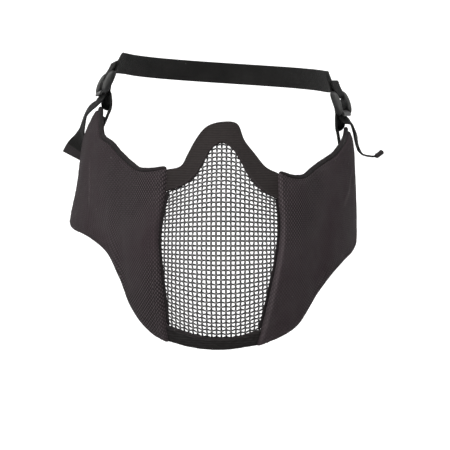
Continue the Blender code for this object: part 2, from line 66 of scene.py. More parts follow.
# Webbing and ladder locks, as in the construction
WEB_WIDTH = 0.016
WEB = 0.0014
TAIL_HEM = 0.0034
TAIL_HEM_LENGTH = 0.007
TAIL_LENGTHS = {"right": 0.054, "left": 0.052}
SEWN_DEPTH = 0.024
SEWN_CLEAR = 0.0015
SEWN_TURN = 82.0
SEWN_FACE = 0.12
BACK_FOLD = 0.011
LOCK_BAR = 0.0020
WRAP = LOCK_BAR / 2 + GAP + WEB / 2
LOCK_PITCH = 0.0064
RAIL_LENGTH = 0.0182
RAIL_WALL = 0.0022
LOCK_TAB = 0.0042
TAB_WALL = 0.0015
RAIL_OUTER = 0.0038
RAIL_INNER = 0.0023
HEAD_HALF = 0.80 * HALF_WIDTH
HEAD_MID = 1.162 * EAR_DEPTH
HEAD_BACK = 0.076
WEB_RIB = 1.45 * MM
TAB_RIDGE = 1.3 * MM
SHARP = math.radians(50)

# Turns of the form, in degrees from the centre line
QUARTER = 90.0
FLARE_START = 40.0
FLARE_FULL = 100.0

# Where things start and end on a wing, as shares of its length and of its height
LAP_START = 0.06
LAP_END = 0.42
RIM_LENGTH = 0.07
RIM_HEIGHT = 0.06
FRONT_RIM = 0.025
LINING_START = 0.40
LINING_END = 0.985
LINING_RIM = 0.03
BINDING_START = 0.01
BINDING_END = 0.96
WING_RIM = 0.010

# Weave of the mesh
MESH_PITCH = 3.25 * MM
WIRE_HALF_WIDTH = 0.66 * MM
WIRE_HALF_HEIGHT = 0.48 * MM
MESH_CRIMP = 0.47 * MM
ROW_FOLLOW = 0.85

# Sewing
HEM = 6.0 * MM
HEM_RISE = 0.55 * MM
HEM_STITCH = HEM - 1.6 * MM
TOP_STITCH = 2.6 * MM
EDGE_STITCH = 3.4 * MM
NOSE_STITCH = 9.6 * MM
PUCKER_PITCH = 7.5 * MM
STITCH_PITCH = 2.9 * MM
STITCH_LENGTH = 1.9 * MM
THREAD = 0.15 * MM
SEAM_LAP = 0.8 * MM
LIP_INSET = 0.9 * MM
LIP_WIDTH = 0.8 * MM
QUILTING = 0.10 * MM
CHIN_LIP = 1.0 * MM
TAPE_HALF_HEIGHT = 1.80 * MM
TAPE_HALF_WALL = 1.55 * MM
TAPE_LAP = 0.45 * MM
CREASE = 0.32 * MM
FLATTEN = 0.75
WAVE = 0.10 * MM
TAPE_OVERHANG = 0.75 * MM

# How far the cloth reaches from a wing's front seam, and the level at which its lie is measured
WING_LENGTH = 0.125
ARC_HEIGHT = -0.40

# One stitch: along it, out of the cloth and how thick, as shares of half its length and of THREAD
STITCH_BEAD = np.array([
    (-1.0, -0.9, 0.35), (-0.8, -0.3, 0.8), (-0.35, 0.25, 1.0), (0.35, 0.25, 1.0), (0.8, -0.3, 0.8),
    (1.0, -0.9, 0.35),
])

# The four corners of every square of a grid
LOW, HIGH = slice(None, -1), slice(1, None)
QUAD = ((LOW, LOW), (HIGH, LOW), (HIGH, HIGH), (LOW, HIGH))

# Camera, sweep, the tone of rubbed cloth that also paints the wings' highlights, and lint
CAMERA_TURN = math.radians(1.0)
CAMERA_RISE = math.radians(4.0)
CAMERA_DISTANCE = 1.3
CAMERA_TARGET = Vector((0.002, 0.0, -0.066))
CAMERA_LENS = 152.94
FLOOR_DROP = 0.262
SWEEP_RADIUS = 0.9
WORN_AND_HIGHLIGHT_TONE = (0.155, 0.129, 0.136, 1)
LINT_TONE = (0.30, 0.29, 0.28, 1)

# Where each edge tape starts and ends, as shares of the wing's height from its top edge
EDGE_TAPE = {"right": (0.118, 0.904), "left": (0.142, 0.904)}


def table(columns, rows):
    """Rows of numbers under named columns; the first column rises or falls all the way."""
    return dict(zip(columns.split(), np.array(rows, float).T))


# The form's levels: bulge is a share of MOUTH_BULGE, width of HALF_WIDTH
LEVELS = table("height bulge width sharpness", [
    (0.15, -0.15, 0.90, 1.20), (0.00, 0.05, 0.945, 1.20), (-0.13, 0.35, 0.975, 1.20),
    (-0.29, 0.80, 0.99, 1.28), (-0.50, 1.00, 1.00, 1.42), (-0.70, 0.95, 0.99, 1.46),
    (-0.86, 0.70, 0.94, 1.46), (-1.02, 0.25, 0.86, 1.46),
])

# How far the rear of the right wing stands out, as shares of RIGHT_FLARE
FLARES = table("height right", [
    (0.15, 0.21), (0.07, 0.31), (-0.04, 0.54), (-0.19, 0.62), (-0.29, 0.69), (-0.38, 0.82),
    (-0.47, 0.96), (-1.00, 1.06),
])

# Turn of the two front seams, in degrees from the centre line
SEAMS = table("height right left", [
    (-0.16, 21.9, 22.8), (-0.30, 22.2, 22.2), (-0.40, 23.9, 23.1), (-0.50, 24.8, 22.8),
    (-0.60, 24.2, 21.4), (-0.70, 23.4, 19.6), (-0.85, 23.3, 17.3), (-0.98, 23.8, 14.9),
])

# Nose panel from the right seam to the left: turns are shares of the seam's
NOSE = table("station lower_turn lower_height upper_turn upper_height", [
    (-1.0, -1.00, -0.289, -1.00, -0.196), (-0.8, -0.66, -0.258, -0.74, -0.178),
    (-0.6, -0.46, -0.218, -0.62, -0.126), (-0.4, -0.33, -0.168, -0.49, -0.064),
    (-0.2, -0.18, -0.102, -0.28, 0.000), (0.0, 0.00, -0.074, 0.02, 0.023),
    (0.2, 0.18, -0.100, 0.27, 0.012), (0.4, 0.33, -0.158, 0.39, -0.062),
    (0.6, 0.48, -0.222, 0.57, -0.122), (0.8, 0.72, -0.284, 0.76, -0.180),
    (1.0, 1.00, -0.323, 1.00, -0.212),
])

# Chin panel from the right seam to the left
CHIN = table("station upper_height lower_height", [
    (-1.0, -0.885, -0.958), (-0.7, -0.906, -0.974), (-0.35, -0.928, -0.984), (0.0, -0.933, -0.986),
    (0.45, -0.926, -0.980), (0.75, -0.912, -0.974), (1.0, -0.898, -0.970),
])

# Wing stations from the front seam to the rear edge
WING_COLUMNS = "station top_turn top_height bottom_turn bottom_height"
WINGS = {
    "right": table(WING_COLUMNS, [
        (0.00, 21.9, -0.196, 23.8, -0.957), (0.10, 29.0, -0.207, 30.3, -0.932),
        (0.20, 36.5, -0.203, 37.1, -0.883), (0.31, 44.0, -0.170, 43.0, -0.822),
        (0.42, 51.3, -0.130, 47.4, -0.702), (0.54, 58.8, -0.082, 53.8, -0.590),
        (0.66, 67.0, -0.050, 63.0, -0.535), (0.78, 75.0, 0.028, 72.0, -0.512),
        (0.90, 88.0, 0.078, 83.0, -0.500), (1.00, 116.0, 0.040, 92.0, -0.475),
    ]),
    "left": table(WING_COLUMNS, [
        (0.00, 22.8, -0.214, 14.9, -0.966), (0.10, 29.0, -0.236, 24.0, -0.938),
        (0.21, 36.0, -0.232, 32.5, -0.902), (0.32, 43.3, -0.192, 38.7, -0.842),
        (0.43, 50.4, -0.163, 44.5, -0.762), (0.55, 58.8, -0.136, 52.0, -0.688),
        (0.67, 67.0, -0.100, 62.0, -0.634), (0.79, 76.0, -0.066, 74.0, -0.602),
        (0.90, 88.0, -0.026, 86.0, -0.580), (1.00, 106.0, -0.050, 98.0, -0.555),
    ]),
}

# Soft folds of each wing: a ridge or dent from one station and drop to another, its width, and its
# height as a share of PAD
FOLDS = {
    "right": [
        (0.80, 0.15, 0.84, 0.60, 0.045, 0.35), (0.70, 0.05, 0.72, 0.75, 0.060, -0.25),
        (0.42, 0.10, 0.46, 0.95, 0.080, 0.30), (0.14, 0.12, 0.16, 0.90, 0.050, -0.18),
    ],
    "left": [
        (0.92, 0.05, 0.78, 0.50, 0.045, 0.35), (0.80, 0.02, 0.70, 0.60, 0.060, -0.25),
        (0.40, 0.15, 0.44, 0.90, 0.090, 0.25), (0.13, 0.10, 0.18, 0.90, 0.050, -0.18),
    ],
}

# Sharper creases in the outer cloth, written the same way with the height a share of CREASE
CREASES = {
    "right": [
        (0.745, 0.38, 0.705, 0.68, 0.010, 0.75), (0.720, 0.34, 0.680, 0.66, 0.014, -0.55),
        (0.630, 0.24, 0.605, 0.76, 0.020, 0.50), (0.545, 0.16, 0.530, 0.80, 0.026, -0.35),
        (0.300, 0.10, 0.270, 0.60, 0.030, 0.35), (0.130, 0.03, 0.110, 0.20, 0.018, 0.45),
        (0.860, 0.02, 0.930, 0.45, 0.018, 0.60), (0.050, 0.03, 0.044, 0.30, 0.007, 0.40),
    ],
    "left": [
        (0.820, 0.06, 0.770, 0.28, 0.012, 0.70), (0.770, 0.26, 0.650, 0.43, 0.014, 0.60),
        (0.700, 0.10, 0.600, 0.46, 0.020, -0.50), (0.520, 0.20, 0.470, 0.80, 0.030, 0.40),
        (0.300, 0.08, 0.330, 0.50, 0.028, -0.35), (0.160, 0.05, 0.120, 0.40, 0.020, 0.35),
        (0.900, 0.10, 0.940, 0.80, 0.020, 0.50),
    ],
}

# Painted highlights along the sharpest creases, written the same way with the height as how bright
CREASE_HIGHLIGHTS = {
    "right": [(0.745, 0.34, 0.705, 0.68, 0.009, 2.6)],
    "left": [
        (0.770, 0.29, 0.705, 0.44, 0.012, 2.4), (0.720, 0.41, 0.640, 0.49, 0.020, 1.5),
    ],
}

# Each lock: its middle as shares of HALF_WIDTH, EAR_DEPTH and MASK_HEIGHT, then the way the webbing
# climbs and the way its face looks
LOCKS = {
    "right": ((-0.894, 0.962, 0.203), (0.40, 0.24, 0.89), (-1.0, -0.29, 0.4)),
    "left": ((0.873, 0.952, 0.107), (-0.32, 0.12, 0.91), (1.0, -0.40, 0.3)),
}

# Free tails below each lock, as shares of the tail's length, with the way the webbing faces
TAILS = {
    "right": [
        (-0.12, 0.05, -0.12, -0.6, -0.30, 0.8), (-0.22, 0.14, -0.21, -0.8, -0.28, 0.6),
        (-0.27, 0.22, -0.32, -1.0, -0.25, 0.3), (-0.30, 0.28, -0.42, -1.0, -0.30, 0.2),
        (-0.32, 0.34, -0.52, -1.0, -0.50, 0.2), (-0.355, 0.39, -0.62, -0.8, -0.8, 0.1),
        (-0.41, 0.42, -0.71, -0.4, -1.0, 0.0), (-0.47, 0.44, -0.83, -0.1, -1.0, 0.0),
    ],
    "left": [
        (0.09, 0.05, -0.06, 0.8, 0.0, 0.6), (0.17, 0.19, -0.24, 1.0, -0.08, 0.2),
        (0.22, 0.31, -0.37, 1.0, -0.04, 0.0), (0.25, 0.35, -0.46, 0.9, -0.04, 0.4),
        (0.28, 0.32, -0.53, 0.6, 0.0, 0.8), (0.39, 0.32, -0.57, 0.1, 0.04, 1.0),
        (0.49, 0.32, -0.57, -0.2, 0.04, 1.0), (0.59, 0.32, -0.50, -0.6, 0.04, 0.8),
    ],
}

SIDES = {"right": -1, "left": 1}
# Painted highlight down each wing's front edge, where the folded edge catches the light
FRONT_EDGE_HIGHLIGHT = {"right": 0.5, "left": 2.2}
WAVE_SEEDS = {"right": 1.7, "left": 4.2}


def smooth(xs, ys, x):
    """Cubic through the table's points, with the slope at each taken from its neighbours."""
    order = np.argsort(xs)
    xs = xs[order]
    ys = ys[order]
    slope = np.gradient(ys, xs)
    x = np.clip(x, xs[0], xs[-1])
    i = np.clip(np.searchsorted(xs, x) - 1, 0, len(xs) - 2)
    step = xs[i + 1] - xs[i]
    t = (x - xs[i]) / step
    start = (2 * t**3 - 3 * t**2 + 1) * ys[i] + (t**3 - 2 * t**2 + t) * step * slope[i]
    end = (3 * t**2 - 2 * t**3) * ys[i + 1] + (t**3 - t**2) * step * slope[i + 1]
    return start + end


def read(rows, column, at):
    """A column of a table, read at values of its first column."""
    first = next(iter(rows))
    return smooth(rows[first], rows[column], np.asarray(at, float))


def part_way(first, last, share):
    """Values a share of the way from the first to the last."""
    return first * (1 - share) + last * share


def between(rows, first, last, at, share):
    """Values a share of the way from one column of a table to another."""
    return part_way(read(rows, first, at), read(rows, last, at), share)


def ease(low, high, x):
    """Smooth step from 0 at low to 1 at high."""
    t = np.clip((x - low) / (high - low), 0, 1)
    return t * t * (3 - 2 * t)


def bell(off, width):
    """Bell curve of height 1 at no offset."""
    return np.exp(-(off / width) ** 2)


def unit(vectors):
    """Vectors scaled to length 1."""
    return vectors / np.linalg.norm(vectors, axis=-1, keepdims=True)


def stacked(*parts):
    """Arrays side by side in a new last axis."""
    return np.stack(parts, -1)


def distance(points):
    """Distance along each path of points, from 0 at its first point."""
    steps = np.linalg.norm(np.diff(points, axis=-2), axis=-1)
    return np.concatenate([0 * steps[..., :1], np.cumsum(steps, axis=-1)], axis=-1)


def sampled(at, rows, t):
    """Rows of numbers known at the distances in at, read at t."""
    return stacked(*(np.interp(t, at, column) for column in rows.T))


def form(turn, height):
    """Point of the fitted form: x is the half width times the sine of the turn, and y goes back from
    the front by the depth times the turn's share of a quarter, raised to the sharpness. Past a
    quarter turn the section closes in on an ellipse."""
    turn, height = np.broadcast_arrays(np.asarray(turn, float), np.asarray(height, float))
    front = -MOUTH_BULGE * read(LEVELS, "bulge", height)
    half = HALF_WIDTH * read(LEVELS, "width", height)
    share = np.minimum(np.abs(turn) / QUARTER, 1)
    round_whole = math.hypot(1, NOSE_ROUND) - NOSE_ROUND
    share = (np.hypot(share, NOSE_ROUND) - NOSE_ROUND) / round_whole
    past = np.radians(np.maximum(np.abs(turn) - QUARTER, 0))
    x = half * np.sin(np.radians(turn))
    x = x - RIGHT_FLARE * read(FLARES, "right", height) * ease(FLARE_START, FLARE_FULL, -turn)
    y = front + (EAR_DEPTH - front) * share ** read(LEVELS, "sharpness", height)
    return stacked(x, y + CURL_DEPTH * np.sin(past), height * MASK_HEIGHT)


def outward(turn, height):
    """Unit normal of the form, from small steps of turn and height."""
    d_turn = form(turn + 0.05, height) - form(turn - 0.05, height)
    d_height = form(turn, height + 0.002) - form(turn, height - 0.002)
    return unit(np.cross(d_turn, d_height))


def skin(turn, height, out):
    """Point at a distance out from the form."""
    return form(turn, height) + np.asarray(out)[..., None] * outward(turn, height)


def degrees_over(length):
    """Turn that a length takes up across the front of the form."""
    return math.degrees(length / HALF_WIDTH)


def side_turn(share, height):
    """Turn at a signed share of the way from the centre line to the seam on that side."""
    right, left = (read(SEAMS, side, height) - degrees_over(GAP) for side in ("right", "left"))
    return np.where(share < 0, right, left) * share


def nose_place(u, v):
    """u runs from the right seam to the left, v from the mesh up to the bridge edge."""
    station = 2 * u - 1
    height = between(NOSE, "lower_height", "upper_height", station, v)
    return side_turn(between(NOSE, "lower_turn", "upper_turn", station, v), height), height


def chin_place(u, v):
    """u runs from the right seam to the left, v from the hem up to the lip over the mesh."""
    share = 2 * u - 1
    upper = read(CHIN, "upper_height", share) + CHIN_LIP / MASK_HEIGHT
    height = part_way(read(CHIN, "lower_height", share), upper, v)
    return side_turn(share, height), height


def wing_place(side, u, v):
    """u runs from the front seam to the rear edge, v from the top edge to the bottom. The first
    station follows the seam, and the bow of the seam fades out towards the rear."""
    rows = WINGS[side]
    height = between(rows, "top_height", "bottom_height", u, v)
    turn = between(rows, "top_turn", "bottom_turn", u, v)
    chord = part_way(rows["top_turn"][0], rows["bottom_turn"][0], v)
    turn = turn + (read(SEAMS, side, height) - chord) * (1 - u) ** 4
    return SIDES[side] * turn, height


def ridges(rows, u, v):
    """Sum of ridges, each a bell across its own line that fades out at the line's ends."""
    total = np.zeros(np.broadcast(u, v).shape)
    for start_u, start_v, end_u, end_v, width, height in rows:
        du, dv = end_u - start_u, end_v - start_v
        along = ((u - start_u) * du + (v - start_v) * dv) / (du * du + dv * dv)
        ends = ease(-0.15, 0.15, along) * (1 - ease(0.85, 1.15, along))
        total = total + height * bell(u - start_u - along * du, width) * ends
    return total


def wing_inner(side, u, v):
    """Distance of a wing's inner face from the form. It lies over the mesh at the seam, and from
    there on its outer face comes down to the form."""
    sink = (PAD + PANEL_OUT) * ease(LAP_START, LAP_END, u)
    return PANEL_OUT - sink + PAD * ridges(FOLDS[side], u, v)


def pad_share(u, v):
    """Thickness of a wing as a share of PAD, full inside and rounded down at all four edges."""
    edge = np.minimum(np.minimum(u / FRONT_RIM, (1 - u) / RIM_LENGTH), np.minimum(v, 1 - v) / RIM_HEIGHT)
    return part_way(PAD_EDGE / PAD, 1, np.sqrt(1 - (1 - np.clip(edge, 0, 1)) ** 2))


def cloth_lie(turn, height):
    """Place on the flat cloth, in metres: the arc from the centre line, and the height."""
    turns = np.linspace(0, 130, 261)
    arc = np.interp(np.abs(turn), turns, distance(form(turns, ARC_HEIGHT)))
    return stacked(np.sign(turn) * arc, height * MASK_HEIGHT)


def rim_shares(rim, count):
    """Grid shares from 0 to 1 that round both borders: the first and last few follow a quarter
    circle as wide as the rim, and the rest are even."""
    low = rim * (1 - np.cos(np.radians(np.linspace(0, 90, 6))))[:-1]
    return np.r_[low, np.linspace(rim, 1 - rim, count), 1 - low[::-1]]


def rim_round(shares, rim):
    """How full a rounded border is at each share: 0 on the border, 1 past the rim."""
    depth = np.clip(np.minimum(shares, 1 - shares) / rim, 0, 1)
    return np.sqrt(np.clip(1 - (1 - depth) ** 2, 0, 1))


def rim_grid(rims, counts):
    """Grids of the shares u and v with rounded borders, and how full the cloth is at each."""
    u, v = np.meshgrid(*map(rim_shares, rims, counts), indexing="ij")
    return u, v, np.minimum(rim_round(u, rims[0]), rim_round(v, rims[1]))


def handed(side, *grids):
    """Grids as they are on the right, and from bottom to top on the left, so that faces look out."""
    return [grid if SIDES[side] < 0 else grid[:, ::-1] for grid in grids]


def new_mesh(name, points, faces, lie, rim):
    """Mesh from an array of points and arrays of faces, with a UV map in metres and a rim mark."""
    mesh = bpy.data.meshes.new(name)
    mesh.from_pydata(points.tolist(), [], [face for block in faces for face in block.tolist()])
    layer = mesh.uv_layers.new(name="Cloth")
    layer.data.foreach_set("uv", np.ascontiguousarray(lie, np.float32).ravel())
    mark = mesh.attributes.new("rim", "FLOAT", "POINT")
    mark.data.foreach_set("value", np.ascontiguousarray(rim, np.float32).ravel())
    mesh.shade_smooth()
    return mesh


def link(made):
    """Puts an object in the scene."""
    bpy.context.scene.collection.objects.link(made)


def piece(name, mesh, finish, slot, *nodes):
    """A finished piece on the one body, standing for the CAD nodes that it names."""
    made = bpy.data.objects.new(name, mesh)
    mesh.materials.append(finish)
    link(made)
    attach(made, "root")
    if nodes:
        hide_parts(*nodes)
    return made


def shell(name, inner, outer, lie, rim):
    """Closed shell of two grids of points that share their border, where inner and outer meet."""
    index = np.arange(rim.size).reshape(rim.shape)
    border = np.ones(rim.shape, bool)
    border[1:-1, 1:-1] = False
    under = index.copy()
    under[~border] = rim.size + np.arange((~border).sum())
    points = np.vstack([outer.reshape(-1, 3), inner[~border]])
    top = stacked(*(index[at].ravel() for at in QUAD))
    bottom = stacked(*(under[at].ravel() for at in QUAD[::-1]))
    uv = np.stack([lie[at].reshape(-1, 2) for at in QUAD], 1)
    uv = np.vstack([uv.reshape(-1, 2), uv[:, ::-1].reshape(-1, 2)])
    marks = np.r_[rim.ravel(), rim[~border]]
    return new_mesh(name, points, [top, bottom], uv, marks)


def ring_quads(near, far):
    """Values at the corners of every quad between one ring of a tube and the next."""
    return stacked(near[:, :-1], far[:, :-1], far[:, 1:], near[:, 1:])


def tubes(centre, across, out, profile, widths=1.0, heights=1.0, rim=0.0):
    """Arrays of closed tubes: one closed profile set out at every point of k paths by its offsets
    along the across and out vectors, times the point's width and height, with a fan closing each
    end. centre is (k, n, 3), the profile is (m, 2), and the rest take the shapes of these."""
    paths, count = centre.shape[:2]
    index = np.arange(paths * count * len(profile)).reshape(paths, count, -1)
    ring = centre[:, :, None]
    for column, sizes, way in ((0, widths, across), (1, heights, out)):
        sizes = np.broadcast_to(sizes, (paths, count))
        ring = ring + (sizes[..., None] * profile[:, column])[..., None] * way[:, :, None]
    points = np.vstack([ring.reshape(-1, 3), centre[:, [0, -1]].reshape(-1, 3)])
    after = np.roll(index, -1, axis=2)
    quads = ring_quads(index, after).reshape(-1, 4)
    first = index.size + 2 * np.arange(paths)[:, None] + 0 * index[:, 0]
    start = stacked(first, after[:, 0], index[:, 0]).reshape(-1, 3)
    end = stacked(first + 1, index[:, -1], after[:, -1]).reshape(-1, 3)
    around = distance(np.vstack([profile, profile[:1]]))
    lie_u, lie_next, lie_v = (np.broadcast_to(lie, index.shape) for lie in (
        around[:-1], around[1:], distance(centre)[..., None]))
    uv = stacked(ring_quads(lie_u, lie_next).ravel(), ring_quads(lie_v, lie_v).ravel())
    fan = np.tile(np.repeat(lie_u[:, 0].ravel(), 3), 2)
    marks = np.r_[np.broadcast_to(rim, index.shape).ravel(), np.zeros(2 * paths)]
    return points, [quads, start, end], np.vstack([uv, stacked(fan, 0 * fan)]), marks


def carry(name, *shape, **more):
    """Mesh of the tubes that these arrays describe."""
    return new_mesh(name, *tubes(*shape, **more))


def circle(radius, sides):
    """Round profile."""
    angle = np.linspace(0, 2 * np.pi, sides, endpoint=False)
    return radius * stacked(np.cos(angle), np.sin(angle))


def squircle(half_width, half_height, power, sides):
    """Rounded box profile: the sum of both shares, raised to the power, is 1."""
    round_one = circle(1.0, sides)
    spread = (np.abs(round_one) ** power).sum(axis=1) ** (-1 / power)
    return round_one * spread[:, None] * [half_width, half_height]


def path_frame(centre, facing):
    """Across and out vectors of paths whose face looks roughly along the facing vectors."""
    ahead = unit(np.gradient(centre, axis=-2))
    across = unit(np.cross(facing, ahead))
    return across, unit(np.cross(ahead, across))


def band(name, centre, facing, profile, widths, heights, rim=0.0):
    """Mesh of one tube along a path (n, 3), its face turned to the facing vectors."""
    across, out = path_frame(centre, facing)
    return carry(name, centre[None], across[None], out[None], profile, widths, heights, rim=rim)


def closed_ends(count, power):
    """Size along a band, full until both ends close, the later the higher the power."""
    return np.sqrt(np.clip(1 - np.abs(np.linspace(-1, 1, count)) ** power, 0.03, 1))


def even(path, facing, step):
    """A path and its facing vectors, resampled evenly along the path."""
    at = distance(path)
    t = np.linspace(0, at[-1], max(3, int(round(at[-1] / step)) + 1))
    return sampled(at, path, t), sampled(at, facing, t)


def stitches(name, runs, finish, slot, pitch=STITCH_PITCH, length=STITCH_LENGTH):
    """Rows of stitches along runs of (path, facing): each is a short rounded bead of thread that
    dips into the cloth at both ends."""
    rows = []
    for run in runs:
        path, facing = even(*run, pitch)
        rows.append(np.stack([path, *path_frame(path, facing)]))
    middle, across, out = np.concatenate(rows, axis=1)[:, :, None]
    t, sink, swell = STITCH_BEAD.T
    centre = middle + 0.5 * length * t[:, None] * np.cross(across, out) + THREAD * sink[:, None] * out
    mesh = carry(name, centre, across, out, circle(THREAD, 5), swell, swell)
    return piece(name, mesh, finish, slot)


def woven_lie():
    """The mesh sheet laid over the form. A row is cut square to the centre line's own slope, so it
    drops towards the seams under the nose and rises towards them at the chin; columns keep an even
    arc from the centre line. Returns the along and across distances and the turn and height there."""
    line = np.linspace(0.02, -1.16, 420)
    turn = np.linspace(-34, 34, 273)
    centre = form(0, line)
    slope = np.gradient(centre[:, 1], centre[:, 2])
    height, turns = np.meshgrid(line, turn, indexing="ij")
    for _ in range(8):
        back = form(turns, height)[..., 1] - centre[:, 1:2]
        height = line[:, None] - ROW_FOLLOW * slope[:, None] * back / MASK_HEIGHT
    arc = distance(form(turns, height))
    arc = arc - arc[:, [len(turn) // 2]]
    across = np.linspace(-0.056, 0.056, 449)
    turn_at = np.stack([np.interp(across, row, turn) for row in arc])
    height_at = np.stack([np.interp(across, row, heights) for row, heights in zip(arc, height)])
    return distance(centre), across, turn_at, height_at


def in_mesh(turn, height):
    """Whether a place on the form is within the mesh's opening or tucked just under its borders."""
    tuck = TUCK / MASK_HEIGHT
    seam = np.abs(side_turn(np.sign(turn) + (turn == 0), height))
    share = np.clip(turn / seam, -1, 1)
    roof = smooth(NOSE["lower_turn"], NOSE["lower_height"], share) + 2 * tuck
    floor = read(CHIN, "upper_height", share) - tuck
    return (height < roof) & (height > floor) & (np.abs(turn) < seam + degrees_over(TUCK))


def entry(values, at, *columns):
    """Values read at row numbers with a fraction, in the columns given."""
    low = np.minimum(at.astype(int), len(values) - 2)
    return part_way(values[(low, *columns)], values[(low + 1, *columns)], at - low)


def woven_wires(name, lines, samples, finish, down):
    """Crimped wires of one direction, slightly flattened. Each follows its line over the sheet
    between the first and last place inside the opening, and swings out and in by the crimp from one
    crossing to the next. The rim attribute carries painted highlights on the crests, on the down
    wires mostly high on the mask and on the across wires mostly low on it."""
    wire_axis, cross_axis, turn, height = woven_lie()
    if down:
        turn, height = turn.T, height.T
    else:
        wire_axis, cross_axis = cross_axis, wire_axis
    at = np.interp(lines, cross_axis, np.arange(len(cross_axis)))[:, None]
    turn, height = (entry(sheet, at, np.arange(len(wire_axis))) for sheet in (turn, height))
    inside = in_mesh(turn, height)
    keep = inside.sum(axis=1) > 6
    lines, turn, height, inside = lines[keep], turn[keep], height[keep], inside[keep]
    first = inside.argmax(axis=1)[:, None]
    last = len(wire_axis) - 1 - inside[:, ::-1].argmax(axis=1)[:, None]
    at = part_way(first, last, np.linspace(0, 1, samples))
    turn, height = (entry(sheet.T, at, np.arange(len(lines))[:, None]) for sheet in (turn, height))
    swing = MESH_CRIMP * np.cos(np.pi * entry(wire_axis, at) / MESH_PITCH)
    swing = swing * (-1.0) ** np.round(lines / MESH_PITCH)[:, None] * (1 if down else -1)
    normal = outward(turn, height)
    centre = form(turn, height) + swing[..., None] * normal
    # Painted highlight on the crests, weighted by height as the lamps would light them
    highlight_by_height = 0.3 + 0.7 * ease(-0.80, -0.50, height) if down else 1 - 0.6 * ease(-0.75, -0.35, height)
    crest_highlight = highlight_by_height * ease(0.35, 0.95, swing / MESH_CRIMP)
    profile = circle(1.0, 8) * [WIRE_HALF_WIDTH, WIRE_HALF_HEIGHT]
    facing = np.clip(profile[:, 1] / WIRE_HALF_HEIGHT, 0, 1)
    mesh = carry(name, centre, *path_frame(centre, normal), profile, rim=crest_highlight[..., None] * facing)
    return piece(name, mesh, finish, "wire", "wire_mesh_panel")


def cut_cloth(name, mesh, finish, slot):
    """A piece of cloth, standing for the CAD node of its own name. The real cloth was cut flat and
    is held stretched over the form.
    """
    piece(name, mesh, finish, slot, name)


def panel(name, place, size, counts, rims, lips, finish):
    """Cloth panel: two faces a cloth's thickness apart that meet round its border, with rolled
    lips along the lower and upper edges and a slight quilting between."""
    u, v, full = rim_grid(rims, counts)
    turn, height = place(u, v)
    turn = turn + degrees_over(SEAM_LAP) * np.sign(turn) * ease(0.86, 1, np.abs(2 * u - 1))
    lip = sum(rise * bell(edge * size - LIP_INSET, LIP_WIDTH) for rise, edge in zip(lips, (v, 1 - v)))
    soft = QUILTING * np.sin(47 * u + 2 * v) * np.sin(9 * v + 5 * u)
    middle = PANEL_OUT + CLOTH / 2
    inner = skin(turn, height, middle - CLOTH / 2 * full)
    outer = skin(turn, height, middle + (CLOTH / 2 + lip + soft) * full)
    lightened = np.clip(1 - full + 0.6 * lip / MM, 0, 1)
    cut_cloth(name, shell(name, inner, outer, cloth_lie(turn, height), lightened), finish, "ribbed_cloth")


def wing_height(u):
    """Height of a wing's cloth at a station, in metres."""
    return 0.105 - 0.045 * u


def wing_detail(side, u, v):
    """Relief of a wing's outer cloth, in metres: creases, the padding that evens out most of each
    fold, the raised front hem band, the dips along its stitch lines, puckers between the stitches
    and low uneven waves."""
    front, drop = u * WING_LENGTH, wing_height(u)
    relief = CREASE * ridges(CREASES[side], u, v) - FLATTEN * PAD * ridges(FOLDS[side], u, v)
    relief = relief + HEM_RISE * (1 - ease(HEM - 0.5 * MM, HEM + 0.4 * MM, front))
    relief = relief - 0.35 * MM * bell(front - HEM_STITCH, 0.5 * MM)
    rear = WING_LENGTH * (1 - u)
    for edge, inset in ((v * drop, TOP_STITCH), ((1 - v) * drop, EDGE_STITCH), (rear, EDGE_STITCH)):
        relief = relief - 0.30 * MM * bell(edge - inset, 0.8 * MM)
        pucker = np.sin(2 * np.pi * (front + v * drop) / PUCKER_PITCH + 3 * np.sin(31 * u + 17 * v))
        relief = relief + 0.09 * MM * pucker * bell(edge - inset - 3 * MM, 3.2 * MM)
    seed = WAVE_SEEDS[side]
    waves = np.sin(21 * u + 5 * v + seed) * np.sin(7 * v - 4 * u + 2 * seed)
    waves = waves + 0.6 * np.sin(43 * u - 9 * v + 3 * seed) * np.sin(15 * v + 6 * u + seed)
    waves = waves + 0.35 * np.sin(83 * u + 23 * v + seed) * np.sin(37 * v - 29 * u)
    return relief + WAVE * waves


def wing(side, finish):
    """Padded wing: an inner face on the form and an outer face that swells from a rounded border,
    with the relief of the outer cloth on it. The cloth lies on it by the real distance from the
    front seam, so that its threads keep their width over the rolled edge."""
    u, v, full = rim_grid((WING_RIM, 1.3 * WING_RIM), (210, 150))
    turn, height = wing_place(side, u, v)
    low = wing_inner(side, u, v) + PAD_EDGE / 2
    thick = PAD * pad_share(u, v) - PAD_EDGE / 2
    inner = skin(turn, height, low - PAD_EDGE / 2 * full)
    outer = skin(turn, height, low + (thick + wing_detail(side, u, v)) * full)
    lie = cloth_lie(turn, height)
    lie[..., 0] = lie[0, :, 0] + SIDES[side] * distance(outer[..., :2].swapaxes(0, 1)).T
    # Paler at the rounded border, with painted highlight down the front edge and along the sharpest
    # creases
    lightened = np.maximum(1 - full, FRONT_EDGE_HIGHLIGHT[side] * bell(WING_LENGTH * u - 0.8 * MM, 0.6 * MM))
    lightened = np.maximum(lightened, ridges(CREASE_HIGHLIGHTS[side], u, v))
    name = f"side_panel_{side}"
    mesh = shell(name, *handed(side, inner, outer, lie, lightened))
    piece(name, mesh, finish, "cloth", name)


def wing_line(side, u, v):
    """Path on a wing's outer face, with its normals."""
    turn, height = wing_place(side, u, v)
    out = wing_inner(side, u, v) + PAD * pad_share(u, v) + wing_detail(side, u, v)
    return skin(turn, height, out), outward(turn, height)


